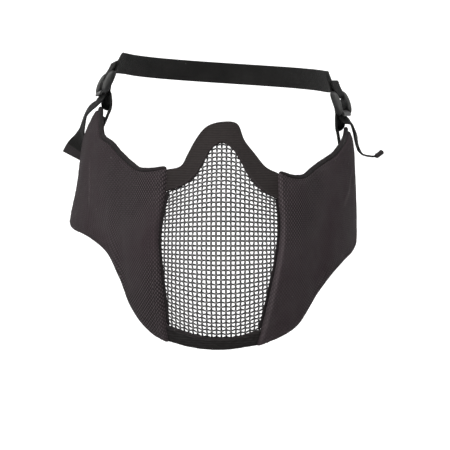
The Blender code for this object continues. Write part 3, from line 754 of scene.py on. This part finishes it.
def wing_stitches(side, finish):
    """Stitch rows of a wing: down the front hem, under the top edge and round bottom and rear."""
    t = np.linspace(0.02, 0.98, 160)
    shares = [
        (HEM_STITCH / WING_LENGTH + 0 * t, t),
        (t, TOP_STITCH / wing_height(t)),
        (0.05 + 0.93 * t, 1 - EDGE_STITCH / wing_height(t)),
        (1 - EDGE_STITCH / WING_LENGTH + 0 * t, t),
    ]
    if side == "right":
        shares.append((0.015 + 0.20 * t, NOSE_STITCH / wing_height(0.20 * t)))
    stitches(f"wing_stitches_{side}", [wing_line(side, u, v) for u, v in shares], finish, "cloth")


def binding(side, finish):
    """Tape folded over a wing's top edge: a rounded box section that laps the cloth and closes at
    both ends."""
    u = np.linspace(BINDING_START, BINDING_END, 220)
    turn, height = wing_place(side, u, 0 * u)
    normal = outward(turn, height)
    edge = skin(turn, height, wing_inner(side, u, 0 * u) + PAD_EDGE / 2)
    above = unit(SIDES[side] * np.cross(normal, np.gradient(edge, axis=0)))
    centre = edge + (TAPE_HALF_HEIGHT - TAPE_LAP) * above
    count = np.arange(len(u))
    size = (1 + 0.02 * np.sin(count * 0.61) + 0.03 * np.sin(count * 0.23)) * closed_ends(len(u), 40)
    profile = squircle(TAPE_HALF_HEIGHT, TAPE_HALF_WALL, 2.7, 22)
    name = f"top_binding_{side}"
    piece(name, band(name, centre, normal, profile, size, size, 0.35), finish, "ribbed_cloth", name)


def edge_tape(side, finish):
    """Narrow flat tape under a wing's front edge, over the cut ends of the wires, from the nose
    panel down to the chin panel. Its ends close on a half circle."""
    v = np.linspace(*EDGE_TAPE[side], 160)
    turn, height = wing_place(side, 0 * v, v)
    turn = turn - SIDES[side] * degrees_over(TAPE_OVERHANG)
    normal = outward(turn, height)
    centre = form(turn, height) + (PANEL_OUT + 0.5 * MM) * normal
    close = closed_ends(len(v), 60)
    name = f"edge_tape_{side}"
    mesh = band(name, centre, normal, squircle(1.15 * MM, 0.45 * MM, 3.0, 18), close, close)
    piece(name, mesh, finish, "ribbed_cloth")


def lining(side, finish):
    """Net lining behind the rear half of a wing, held a little off the wing's inner face."""
    u, v, full = rim_grid((0.012, 0.012), (90, 60))
    station = part_way(LINING_START, LINING_END, u)
    drop = part_way(LINING_RIM, 1 - LINING_RIM, v)
    turn, height = wing_place(side, station, drop)
    low = wing_inner(side, station, drop) - LINING_GAP - LINING / 2
    faces = [skin(turn, height, low + way * LINING / 2 * full) for way in (-1, 1)]
    name = f"ear_lining_{side}"
    mesh = shell(name, *handed(side, *faces, cloth_lie(turn, height), 1 - full))
    cut_cloth(name, mesh, finish, "lining")


def lock_frame(side):
    """Matrix of a lock: x across the webbing, y up along it, z out of the lock's face."""
    middle, up, out = LOCKS[side]
    up = Vector(up).normalized()
    out = Vector(out)
    out = (out - out.dot(up) * up).normalized()
    place = Matrix((up.cross(out), up, out)).transposed().to_4x4()
    place.translation = np.array(middle) * (HALF_WIDTH, EAR_DEPTH, MASK_HEIGHT)
    return np.array(place)


def in_lock(side, along, out, across=0.0):
    """World points at distances along the webbing, out of the lock's face and across it."""
    place = lock_frame(side)
    offsets = stacked(*np.broadcast_arrays(across, along, out))
    return place[:3, 3] + offsets @ place[:3, :3].T


def wrap(centre, start, end, count):
    """Places along and out of the face, on an arc round a bar that the webbing clears by GAP."""
    angle = np.radians(np.linspace(start, end, count))
    return centre + WRAP * np.cos(angle), WRAP * np.sin(angle)


def curve_through(points, facing, count):
    """Smooth path and facing vectors through control points, evenly spaced along the path."""
    at = distance(points)
    t = np.linspace(0, at[-1], count)
    return stacked(*(smooth(at, column, t) for column in points.T)), sampled(at, facing, t)


def webbing_profile():
    """Flat section with rounded selvedges and fine ribs along both faces."""
    half = WEB_WIDTH / 2
    x = half * np.cos(np.linspace(0, np.pi, 41))
    flat = np.sqrt(np.clip(1 - (np.abs(x) / half) ** 12, 0, 1))
    face = 0.5 * flat * (1 - 0.16 * (0.5 + 0.5 * np.cos(2 * np.pi * x / WEB_RIB)))
    return np.vstack([stacked(x, face), stacked(x[-2:0:-1], -face[-2:0:-1])])


def webbing(name, centre, facing, thickness, finish):
    """Webbing carried along a path, its two faces turned to the facing vectors."""
    at = distance(centre)
    from_end = np.minimum(at, at[-1] - at)
    close = np.sqrt(np.clip(1 - (1 - np.clip(from_end / (0.5 * MM), 0, 1)) ** 2, 0.02, 1))
    lightened = np.maximum(1 - close, 2.4 * (thickness - WEB) / TAIL_HEM)[:, None]
    mesh = band(name, centre, facing, webbing_profile(), 0.97 + 0.03 * close, thickness * close, lightened)
    piece(name, mesh, finish, "webbing", name)


def adjust_path(side):
    """Centre line and facing of the webbing: sewn inside the wing's rear corner, up behind the
    lower bar, round the middle bar, and down under the lower bar as the free tail."""
    sign = SIDES[side]
    depth = PAD + LINING_GAP + LINING + SEWN_CLEAR + WEB
    drops = np.array([-1.0, -0.5, 0.0, 0.25]) * SEWN_DEPTH / MASK_HEIGHT
    sewn = skin(sign * SEWN_TURN, WINGS[side]["top_height"][-2] + drops, -depth)
    sewn_facing = np.tile([sign, -SEWN_FACE, 0.0], (len(drops), 1))
    out = lock_frame(side)[:3, 2]
    under = -(WRAP + WEB + GAP)
    climb = in_lock(side, np.array([-1.45, -1.0, -0.55]) * LOCK_PITCH,
                    np.array([under, under, 0.65 * under - 0.35 * WRAP]))
    lean = math.degrees(math.asin(2 * WRAP / LOCK_PITCH))
    around = in_lock(side, *wrap(0, -90, 90 + lean, 21))
    below = in_lock(side, *wrap(-LOCK_PITCH, lean - 90, -90, 5))
    exit_at = in_lock(side, -1.45 * LOCK_PITCH, -WRAP)
    tail = np.array(TAILS[side])
    load, load_facing = curve_through(
        np.vstack([sewn, climb]), np.vstack([sewn_facing, np.tile(out, (len(climb), 1))]), 60)
    free, free_facing = curve_through(
        np.vstack([exit_at, exit_at + tail[:, :3] * TAIL_LENGTHS[side]]),
        np.vstack([-out, -tail[:, 3:]]), 90)
    turns = [way * unit(in_lock(side, bar, 0) - points)
             for points, bar, way in ((around, 0, 1), (below, -LOCK_PITCH, -1))]
    return np.vstack([load, around, below, free]), np.vstack([load_facing, *turns, free_facing])


def adjust_strap(side, finish, thread):
    """Elastic webbing through the lock, with its end folded over and sewn as a thick hem."""
    centre, facing = even(*adjust_path(side), 0.55 * MM)
    at = distance(centre)
    hem = ease(0, 0.9 * MM, at - (at[-1] - TAIL_HEM_LENGTH))
    webbing(f"adjust_strap_{side}", centre, facing, WEB + (TAIL_HEM - WEB) * hem, finish)
    across, out = path_frame(centre, facing)
    x = np.linspace(-0.43, 0.43, 9)[:, None] * WEB_WIDTH
    runs = []
    for inset in (0.24, 0.80):
        near = np.searchsorted(at, at[-1] - inset * TAIL_HEM_LENGTH)
        for face in (-out[near], out[near]):
            row = centre[near] + x * across[near] + TAIL_HEM / 2 * face
            runs.append((row, np.tile(face, (len(x), 1))))
    stitches(f"tail_stitches_{side}", runs, thread, "webbing", pitch=1.8 * MM, length=1.4 * MM)


def strap_path():
    """Head strap: from one end's fold round the upper bar of the lock, round the back on half an
    ellipse, and round the other lock's bar to its fold."""
    along = LOCK_PITCH + np.array([1.0, 0.6, 0.3]) * BACK_FOLD
    out = np.array([1.0, 1.0, 1.4]) * (WEB / 2 + GAP)
    ends = {}
    for side in SIDES:
        fold, leave = in_lock(side, along, out), in_lock(side, along[::-1], -out[::-1])
        turn = in_lock(side, *wrap(LOCK_PITCH, 80, 280, 21))
        inward = unit(in_lock(side, LOCK_PITCH, 0) - turn)
        face = lock_frame(side)[:3, 2]
        ends[side] = (np.vstack([fold, turn, leave]), np.vstack([[-face] * 3, inward, [face] * 3]))
    right, right_facing = ends["right"]
    left, left_facing = (rows[::-1] for rows in ends["left"])
    angle = np.radians(np.linspace(14, 166, 14))
    level = part_way(right[-1][2], left[0][2], np.linspace(0, 1, len(angle)))
    around = stacked(-HEAD_HALF * np.cos(angle), HEAD_MID + HEAD_BACK * np.sin(angle), level)
    facing = unit(stacked(-np.cos(angle) / HEAD_HALF, np.sin(angle) / HEAD_BACK, 0 * angle))
    back, back_facing = curve_through(
        np.vstack([right[-1], around, left[0]]),
        np.vstack([right_facing[-1], facing, left_facing[0]]), 240)
    return (np.vstack([right[:-1], back, left[1:]]),
            np.vstack([right_facing[:-1], back_facing, left_facing[1:]]))


def head_strap(finish, thread):
    """Webbing from lock to lock, each end folded back and sewn to itself in a box."""
    centre, facing = even(*strap_path(), 0.8 * MM)
    webbing("head_strap", centre, facing, WEB + 0 * centre[:, 0], finish)
    low, high = LOCK_PITCH + 0.36 * BACK_FOLD, LOCK_PITCH + 0.82 * BACK_FOLD
    reach = 0.42 * WEB_WIDTH
    corners = [(low, -reach), (low, reach), (high, reach), (high, -reach), (low, -reach), (high, reach)]
    t = np.linspace(0, 1, 6)
    runs = []
    for side in SIDES:
        out = np.tile(lock_frame(side)[:3, 2], (len(t), 1))
        for (a, b), (c, d) in zip(corners, corners[1:]):
            runs.append((in_lock(side, part_way(a, c, t), WEB + GAP, part_way(b, d, t)), out))
    stitches("head_strap_stitches", runs, thread, "webbing", pitch=2.0 * MM, length=1.5 * MM)


def lock_profiles():
    """Side profiles of a lock's parts, as (profile along and out, middle across, width, round,
    painted highlight). A rail is a D whose outer edge is nearly an ellipse and whose back is nearly
    straight, with grip ridges on the outer rim near the tab; the bars are round, and the tab curls
    up from the lower bar with three ridges on it. The highlight is painted on the outer half of each
    rail and over the tab."""
    angle = np.linspace(0, 2 * np.pi, 120, endpoint=False)
    grip = ease(95, 115, np.degrees(angle)) * (1 - ease(150, 165, np.degrees(angle)))
    grip = 1 - 0.05 * grip * (0.5 - 0.5 * np.cos(44 * angle))
    cos, sin = np.cos(angle), np.sin(angle)
    depth = np.where(sin > 0, RAIL_OUTER, RAIL_INNER)
    power = np.where(sin > 0, 2 / 2.3, 2 / 3.6)
    rail = stacked(RAIL_LENGTH / 2 * np.sign(cos) * np.abs(cos) ** power,
                   depth * np.sign(sin) * np.abs(sin) ** power)
    x = np.linspace(0, LOCK_TAB, 30)
    ridge = 0.22 * MM * (0.5 - 0.5 * np.cos(2 * np.pi * x / TAB_RIDGE)) * (x > TAB_RIDGE)
    curl = 0.35 * MM * np.sin(np.pi * x / LOCK_TAB)
    upper = stacked(-x, TAB_WALL / 2 + ridge + curl)
    lower = stacked(-x, -TAB_WALL / 2 + curl)[::-1]
    tab = np.vstack([upper, [[-LOCK_TAB - 0.4 * MM, 0]], lower, [[0.3 * MM, 0]]])
    lean = math.radians(-22)
    turned = np.array([[math.cos(lean), math.sin(lean)], [-math.sin(lean), math.cos(lean)]])
    tab = tab @ turned + [-LOCK_PITCH + 0.2 * MM, 0.10 * MM]
    reach = WEB_WIDTH / 2 + 4 * GAP + RAIL_WALL / 2
    # Painted highlight on the outer half of each rail
    parts = [(grip[:, None] * rail, way * reach, 1.3 * RAIL_WALL, 0.30, ease(0.2, 0.75, sin))
             for way in (-1, 1)]
    for along in (-LOCK_PITCH, 0, LOCK_PITCH):
        parts.append((circle(LOCK_BAR / 2, 20) + [along, 0], 0.0, 2 * reach, 0.0, np.zeros(20)))
    # Painted highlight over the tab
    parts.append((tab, 0.0, 0.9 * WEB_WIDTH, 0.0, np.full(len(tab), 0.8)))
    return parts


def ladder_lock(side, finish):
    """Moulded lock: each part's side profile is carried across the lock, and the rails' rims are
    rounded by drawing the profile in towards both ends on a half circle."""
    place = lock_frame(side)
    theta = np.radians(np.linspace(-90, 90, 9))
    along, out = (place[None, None, :3, k] for k in (1, 2))
    made = []
    for profile, middle, width, rounding, rub_and_highlight in lock_profiles():
        size = part_way(1, np.cos(theta), rounding)
        centre = place[:3, 3] + (middle + 0.5 * width * np.sin(theta))[:, None] * place[:3, 0]
        x, y = profile.T
        if np.sum(x * np.roll(y, -1) - np.roll(x, -1) * y) < 0:
            profile, rub_and_highlight = profile[::-1], rub_and_highlight[::-1]
        made.append(tubes(centre[None], along, out, profile, size, size, rim=rub_and_highlight))
    points, faces, lies, marks = zip(*made)
    first = np.r_[0, np.cumsum([len(part) for part in points])]
    faces = [start + block for start, blocks in zip(first, faces) for block in blocks]
    name = f"ladder_lock_{side}"
    joined = new_mesh(name, np.vstack(points), faces, np.vstack(lies), np.concatenate(marks))
    joined.set_sharp_from_angle(angle=SHARP)
    soften = piece(name, joined, finish, "plastic", name).modifiers.new("soft edges", "BEVEL")
    soften.width = 0.12 * MM
    soften.segments = 2
    soften.limit_method = "ANGLE"
    soften.angle_limit = SHARP


class Graph:
    """Short hand for a node tree. Each call adds nodes and gives what they put out, and join links
    an input where a socket is given and sets it to any other value. spot, lie and rim are the
    Object coordinates, the cloth's own metres and the rim mark."""

    def __init__(self, tree):
        self.tree = tree

    def join(self, node, inputs):
        for name, value in inputs.items():
            if isinstance(value, bpy.types.NodeSocket):
                self.tree.links.new(value, node.inputs[name])
            else:
                node.inputs[name].default_value = value

    def add(self, kind, inputs=None, **settings):
        node = self.tree.nodes.new(kind)
        for name, value in settings.items():
            setattr(node, name, value)
        self.join(node, inputs or {})
        return node.outputs

    def math(self, operation, *values, clamp=False):
        return self.add("ShaderNodeMath", dict(enumerate(values)), operation=operation, use_clamp=clamp)[0]

    def times(self, a, b):
        return self.math("MULTIPLY", a, b)

    def line(self, x, slope, start):
        """The start plus x times the slope."""
        return self.math("MULTIPLY_ADD", x, slope, start)

    def ridge(self, count):
        """Rounded ridges, one from each whole number to the next."""
        return self.math("ABSOLUTE", self.math("SINE", self.times(count, math.pi)))

    def noise(self, vector, scale, detail=2.0):
        return self.add("ShaderNodeTexNoise", {"Vector": vector, "Scale": scale, "Detail": detail})["Fac"]

    def mix(self, factor, a, b):
        return self.add("ShaderNodeMix", {"Factor": factor, "A": a, "B": b}, data_type="RGBA")["Result"]

    def span(self, value, low, high, start=0.0, end=1.0):
        return self.add("ShaderNodeMapRange", {"Value": value, "From Min": low, "From Max": high,
                                               "To Min": start, "To Max": end})["Result"]

    def place(self, label, inputs):
        """One of the node groups."""
        return self.add("ShaderNodeGroup", inputs, node_tree=GROUPS[label])

    def spot(self):
        return self.add("ShaderNodeTexCoord")["Object"]

    def lie(self):
        return self.add("ShaderNodeUVMap", uv_map="Cloth")["UV"]

    def rim(self):
        return self.add("ShaderNodeAttribute", attribute_name="rim")["Fac"]


def group(name, inputs, outputs):
    """Empty node group: its graph, inputs and end. An input is a colour or a number as its default
    is, or a vector without one, and an output is a number unless it is the colour."""
    tree = bpy.data.node_groups.new(name, "ShaderNodeTree")
    kinds = {tuple: "Color", float: "Float", type(None): "Vector"}
    for label, value in inputs.items():
        kind = f"NodeSocket{kinds[type(value)]}"
        socket = tree.interface.new_socket(name=label, in_out="INPUT", socket_type=kind)
        if value is not None:
            socket.default_value = value
    for label in outputs:
        kind = "NodeSocketColor" if label == "Color" else "NodeSocketFloat"
        tree.interface.new_socket(name=label, in_out="OUTPUT", socket_type=kind)
    graph = Graph(tree)
    return graph, graph.add("NodeGroupInput"), tree.nodes.new("NodeGroupOutput")


def weave_group():
    """Plain weave on metre coordinates: warp and weft threads are rounded ridges that take turns on
    top in a checker, and slow noise makes some threads fuller than others. Shade darkens the thread
    lying under in each cell, as painted shade."""
    graph, source, sink = group(
        "plain_weave", {"Vector": None, "Pitch": 0.001, "Slub": 0.25}, ("Height", "Shade"))
    parts = graph.add("ShaderNodeSeparateXYZ", {"Vector": source["Vector"]})
    x, y = (graph.math("DIVIDE", parts[axis], source["Pitch"]) for axis in "XY")
    parity = graph.math("ADD", graph.math("FLOOR", x), graph.math("FLOOR", y))
    over = graph.math("ABSOLUTE", graph.math("MODULO", parity, 2.0))
    under = graph.math("SUBTRACT", 1.0, over)
    warp, weft = (graph.times(graph.ridge(thread), graph.line(top, 0.55, 0.45))
                  for thread, top in ((x, over), (y, under)))
    slub = graph.math("SUBTRACT", graph.noise(source["Vector"], 260.0, 1.0), 0.5)
    full = graph.times(graph.math("MAXIMUM", warp, weft), graph.line(slub, source["Slub"], 1.0))
    # Shade is painted shade on the threads lying under
    graph.join(sink, {"Height": full, "Shade": graph.times(full, graph.line(over, 0.70, 0.30))})
    return graph.tree


def rib_group():
    """Ribs across one direction: rounded ridges at the pitch, crossed by a finer grain of threads."""
    graph, source, sink = group(
        "fine_ribs", {"Along": 0.0, "Across": 0.0, "Pitch": 0.0018, "Thread": 0.0006}, ("Height", "Rib"))
    rib = graph.ridge(graph.math("DIVIDE", source["Along"], source["Pitch"]))
    grain = graph.ridge(graph.math("DIVIDE", source["Across"], source["Thread"]))
    graph.join(sink, {"Height": graph.line(grain, 0.3, rib), "Rib": rib})
    return graph.tree


def tone_group():
    """Cloth colour: two tones mixed by broad noise, lighter where the Rim input asks and at specks of
    lint, and darker in the valleys of the thread relief, which is painted shade. The Rim input is wear at
    the borders and, on the wings, painted highlight down the front edge and along the sharpest creases."""
    graph, source, sink = group("cloth_tone", {
        "Vector": None, "Dark": (0, 0, 0, 1), "Light": (1, 1, 1, 1), "Relief": 0.5, "Depth": 0.5,
        "Rim": 0.0, "Lint": 0.3}, ("Color", "Roughness"))
    spot = source["Vector"]
    broad, middle, fine = (graph.noise(spot, scale, detail)
                           for scale, detail in ((26.0, 3.0), (120.0, 3.0), (420.0, 2.0)))
    tone = graph.line(fine, 0.20, graph.line(broad, 0.55, graph.times(middle, 0.25)))
    base = graph.mix(graph.span(tone, 0.37, 0.63), source["Dark"], source["Light"])
    # Paler towards the worn and highlight tone: rubbed borders, and painted highlight where the rim mark
    # carries it
    lightened = graph.mix(graph.math("MULTIPLY", source["Rim"], 0.15, clamp=True), base, WORN_AND_HIGHLIGHT_TONE)
    # Painted shade in the valleys of the relief: between threads, between ribs and inside the net's holes
    painted_valley_shade = graph.line(graph.math("SUBTRACT", source["Relief"], 1.0), source["Depth"], 1.0)
    shaded = graph.add("ShaderNodeVectorMath", {0: lightened, "Scale": painted_valley_shade}, operation="SCALE")[0]
    cells = graph.add("ShaderNodeTexVoronoi", {"Vector": spot, "Scale": 190.0})
    pick = graph.add("ShaderNodeSeparateColor", {"Color": cells["Color"]})[0]
    speck = graph.times(graph.math("LESS_THAN", cells["Distance"], 0.10),
                        graph.math("GREATER_THAN", pick, 0.93))
    graph.join(sink, {"Color": graph.mix(graph.times(speck, source["Lint"]), shaded, LINT_TONE),
                      "Roughness": graph.span(fine, 0.3, 0.7, 0.74, 0.92)})
    return graph.tree


def wear_group():
    """Hard surfaces: faint scuffs and dust from object noise, and a paler tone where the rim mark
    asks, which is painted highlight on the wire crests and on the locks' rails and tab.
    """
    graph, source, sink = group("scuffs", {
        "Vector": None, "Base": (0, 0, 0, 1), "Rubbed_and_highlight": (1, 1, 1, 1), "Scale": 300.0, "Low": 0.3,
        "High": 0.5, "Rim": 0.0}, ("Color", "Roughness", "Height"))
    fine = graph.noise(source["Vector"], source["Scale"], 3.0)
    broad = graph.noise(source["Vector"], 90.0)
    rub_and_highlight = graph.span(graph.times(fine, broad), 0.22, 0.42, 0.0, 0.35)
    # The rim mark adds painted highlight to the scuffs
    rub_and_highlight = graph.math("MAXIMUM", rub_and_highlight, source["Rim"], clamp=True)
    graph.join(sink, {"Color": graph.mix(rub_and_highlight, source["Base"], source["Rubbed_and_highlight"]), "Height": fine,
                      "Roughness": graph.span(broad, 0.3, 0.7, source["Low"], source["High"])})
    return graph.tree


GROUPS = {"weave": weave_group(), "ribs": rib_group(), "tone": tone_group(), "scuffs": wear_group()}


def material(name, **sockets):
    """A material with a Principled shader whose own sockets take the constants given."""
    made = bpy.data.materials.new(name)
    made.use_nodes = True
    graph = Graph(made.node_tree)
    shader = made.node_tree.nodes["Principled BSDF"]
    graph.join(shader, {label.replace("_", " "): value for label, value in sockets.items()})
    return made, graph, shader


def dress(graph, shader, look, height, raise_by):
    """Joins a group's colour and roughness and the relief of a height to a shader."""
    relief = graph.add("ShaderNodeBump", {"Height": height, "Distance": raise_by, "Strength": 1.0})
    graph.join(shader, {"Base Color": look["Color"], "Roughness": look["Roughness"],
                        "Normal": relief["Normal"]})


def toned(graph, dark, light, relief, depth, lint, rim=None):
    """Cloth colour and roughness on Object coordinates."""
    return graph.place("tone", {
        "Vector": graph.spot(), "Dark": (*dark, 1), "Light": (*light, 1), "Relief": relief,
        "Depth": depth, "Rim": graph.rim() if rim is None else rim, "Lint": lint})


def woven_cloth(name, dark, light, pitch, depth, lint=0.3, raise_by=0.2 * MM):
    """Plain woven cloth on the piece's own metre coordinates, rubbed paler where its threads stand
    out, and paler where the rim mark carries painted highlight on the wings."""
    made, graph, shader = material(name, Sheen_Weight=0.02, Sheen_Roughness=0.45, Specular_IOR_Level=0.05)
    weave = graph.place("weave", {"Vector": graph.lie(), "Pitch": pitch, "Slub": 0.25})
    patch = graph.span(graph.noise(graph.spot(), 15.0, 1.0), 0.40, 0.60)
    depth = graph.times(graph.span(patch, 0.0, 1.0, 0.35, 1.0), depth)
    rim = graph.line(patch, 2.6, graph.rim())
    look = toned(graph, dark, light, weave["Shade"], depth, lint, rim)
    dress(graph, shader, look, weave["Height"], raise_by)
    return made


def ribbed_cloth(name, dark, light, rib_pitch, thread_pitch, depth=0.4, raise_by=0.15 * MM):
    """Ribbed cloth or webbing: ribs run along one metre coordinate and threads cross them, with
    painted shade between the ribs.
    """
    made, graph, shader = material(name, Sheen_Weight=0.03, Sheen_Roughness=0.45, Specular_IOR_Level=0.20)
    parts = graph.add("ShaderNodeSeparateXYZ", {"Vector": graph.lie()})
    ribs = graph.place("ribs", {"Along": parts["Y"], "Across": parts["X"], "Pitch": rib_pitch,
                                "Thread": thread_pitch})
    dress(graph, shader, toned(graph, dark, light, ribs["Rib"], depth, 0.15), ribs["Height"], raise_by)
    return made


def net_cloth(name):
    """Open knitted net: round holes on a close grid, painted dark inside as shade, with glossy yarn
    between.
    """
    made, graph, shader = material(name, Sheen_Weight=0.03, Specular_IOR_Level=0.45)
    cells = graph.add("ShaderNodeTexVoronoi", {"Vector": graph.lie(), "Scale": 520.0, "Randomness": 0.15})
    # The holes get painted shade through the tone's relief
    yarn = graph.span(cells["Distance"], 0.22, 0.48)
    look = toned(graph, (0.018, 0.017, 0.017), (0.045, 0.043, 0.042), yarn, 0.85, 0.4)
    dress(graph, shader, look, yarn, 0.4 * MM)
    return made


def hard_finish(name, base, rubbed_and_highlight, low, high, scale, metallic=0.0, specular=0.5, coat=0.0):
    """Coated wire or moulded plastic on object coordinates."""
    made, graph, shader = material(name, Metallic=metallic, Specular_IOR_Level=specular,
                                   Coat_Weight=coat, Coat_Roughness=0.14)
    look = graph.place("scuffs", {"Vector": graph.spot(), "Base": (*base, 1), "Rubbed_and_highlight": (*rubbed_and_highlight, 1),
                                  "Scale": scale, "Low": low, "High": high, "Rim": graph.rim()})
    dress(graph, shader, look, look["Height"], 0.03 * MM)
    return made


def stage():
    """Pale floor that curves up into a pale wall behind the mask, well below it. The camera sees
    the paper a little brighter than the lights make it."""
    bend = np.radians(np.linspace(6, 90, 15))
    y = np.r_[-2.2, np.linspace(-1.0, 1.6, 8), 1.6 + SWEEP_RADIUS * np.sin(bend), 1.6 + SWEEP_RADIUS]
    z = np.r_[np.zeros(9), SWEEP_RADIUS * (1 - np.cos(bend)), 3.2] - FLOOR_DROP
    grid_x, grid_y = np.meshgrid(np.linspace(-3.2, 3.2, 9), y, indexing="ij")
    points = stacked(grid_x, grid_y, np.broadcast_to(z, grid_x.shape)).reshape(-1, 3)
    index = np.arange(len(points)).reshape(grid_x.shape)
    mesh = bpy.data.meshes.new("studio_sweep")
    mesh.from_pydata(points.tolist(), [], stacked(*(index[at].ravel() for at in QUAD)).tolist())
    mesh.shade_smooth()
    made, graph, shader = material("pale_paper", Specular_IOR_Level=0.1, Roughness=0.9,
                                   Emission_Color=(1, 1, 1, 1))
    shade = graph.mix(graph.noise(graph.spot(), 3.0), (0.90, 0.90, 0.90, 1), (0.94, 0.94, 0.94, 1))
    seen = graph.add("ShaderNodeLightPath")["Is Camera Ray"]
    graph.join(shader, {"Base Color": shade, "Emission Strength": graph.times(seen, 0.45)})
    mesh.materials.append(made)
    sweep = bpy.data.objects.new("studio_sweep", mesh)
    link(sweep)


def aim(made, at, target):
    """Places an object and points its -Z at the target."""
    made.location = at
    made.rotation_euler = (Vector(target) - Vector(at)).to_track_quat("-Z", "Y").to_euler()
    link(made)


def camera():
    """Camera at its turn and rise round the target, looking at it."""
    data = bpy.data.cameras.new("camera")
    data.lens = CAMERA_LENS
    data.sensor_width = 36.0
    data.clip_end = 20.0
    back = Vector((math.sin(CAMERA_TURN) * math.cos(CAMERA_RISE),
                   -math.cos(CAMERA_TURN) * math.cos(CAMERA_RISE), math.sin(CAMERA_RISE)))
    made = bpy.data.objects.new("camera", data)
    aim(made, CAMERA_TARGET + CAMERA_DISTANCE * back, CAMERA_TARGET)
    bpy.context.scene.camera = made


def surround():
    """An even surround that looks pale past the edge of the sweep and gives only a little light."""
    world = bpy.data.worlds.new("studio")
    world.use_nodes = True
    graph = Graph(world.node_tree)
    light = world.node_tree.nodes["Background"]
    graph.join(light, {"Color": (1.0, 1.0, 1.0, 1), "Strength": 0.05})
    seen = graph.add("ShaderNodeBackground", {"Color": (0.90, 0.90, 0.90, 1), "Strength": 1.0})[0]
    ray = graph.add("ShaderNodeLightPath")["Is Camera Ray"]
    both = graph.add("ShaderNodeMixShader", {0: ray, 1: light.outputs[0], 2: seen})[0]
    graph.join(world.node_tree.nodes["World Output"], {"Surface": both})
    bpy.context.scene.world = world


def lights():
    """Large soft boxes to both sides and above the camera, two on the wall, and the surround."""
    middle, wall = (0, 0.04, -0.06), (0, 2.4, 0.1)
    for name, at, size, power, target in (
            ("key", (-0.9, -1.15, 0.95), (0.9, 1.2), 11.5, middle),
            ("fill", (1.2, -0.9, 0.70), (0.7, 1.2), 0.6, middle),
            ("top", (0.0, -0.9, 1.2), (1.2, 0.4), 14.5, middle),
            ("front", (-0.25, -1.7, 0.30), (0.30, 0.30), 1.6, middle),
            ("wall_left", (-1.4, 1.0, 0.9), (1.0, 1.0), 17.0, wall),
            ("wall_right", (1.4, 1.0, 0.9), (1.0, 1.0), 17.0, wall)):
        data = bpy.data.lights.new(name, "AREA")
        data.shape = "RECTANGLE"
        data.size, data.size_y = size
        data.energy = power
        aim(bpy.data.objects.new(name, data), at, target)
    surround()
    bpy.context.scene.view_settings.view_transform = "Standard"


def mask():
    """All pieces of the mask with their finishes."""
    nylon = woven_cloth("charcoal_nylon", (0.056, 0.041, 0.046), (0.074, 0.061, 0.065), 1.30 * MM, 0.95)
    panel_cloth = ribbed_cloth("ribbed_panel_cloth", (0.028, 0.0225, 0.022), (0.035, 0.029, 0.028),
                               1.6 * MM, 0.7 * MM, depth=0.3)
    tape = ribbed_cloth("binding_tape", (0.014, 0.011, 0.012), (0.022, 0.018, 0.019), 0.5 * MM, 0.7 * MM,
                        raise_by=0.02 * MM)
    # The chin's ribbed cloth is toned about half as bright as the nose panel's: painted shade on the
    # downward-facing chin
    chin_cloth_in_painted_shade = ribbed_cloth("chin_cloth_in_painted_shade", (0.013, 0.011, 0.011), (0.021, 0.018, 0.018), 1.85 * MM,
                              0.7 * MM)
    net = net_cloth("lining_net")
    elastic = ribbed_cloth("elastic_webbing", (0.011, 0.011, 0.011), (0.024, 0.023, 0.022), 0.9 * MM,
                           1.45 * MM, raise_by=0.18 * MM)
    thread = woven_cloth("sewing_thread", (0.035, 0.033, 0.033), (0.060, 0.057, 0.057), 0.35 * MM, 0.4,
                         lint=0.0, raise_by=0.05 * MM)
    # The paler tone of each hard finish serves scuffs and painted highlight on wire crests and lock rails
    coated = hard_finish("coated_wire", (0.015, 0.013, 0.013), (0.26, 0.25, 0.25), 0.28, 0.42, 700.0,
                         metallic=0.3, specular=0.6, coat=0.5)
    plastic = hard_finish("moulded_plastic", (0.012, 0.012, 0.012), (0.060, 0.060, 0.058), 0.36, 0.52,
                          500.0)

    woven_wires("wires_down", np.arange(-16, 17) * MESH_PITCH, 290, coated, True)
    woven_wires("wires_across", np.arange(1, 56) * MESH_PITCH, 200, coated, False)
    panel("nose_panel", nose_place, 0.026, (190, 40), (0.008, 0.06), (0.55 * MM, 0.30 * MM), panel_cloth)
    panel("chin_panel", chin_place, 0.011, (150, 26), (0.010, 0.10), (0.25 * MM, 0.60 * MM), chin_cloth_in_painted_shade)
    for side in SIDES:
        wing(side, nylon)
        wing_stitches(side, thread)
        binding(side, tape)
        edge_tape(side, tape)
        lining(side, net)
        adjust_strap(side, elastic, thread)
        ladder_lock(side, plastic)
    head_strap(elastic, thread)


camera()
lights()
stage()
mask()
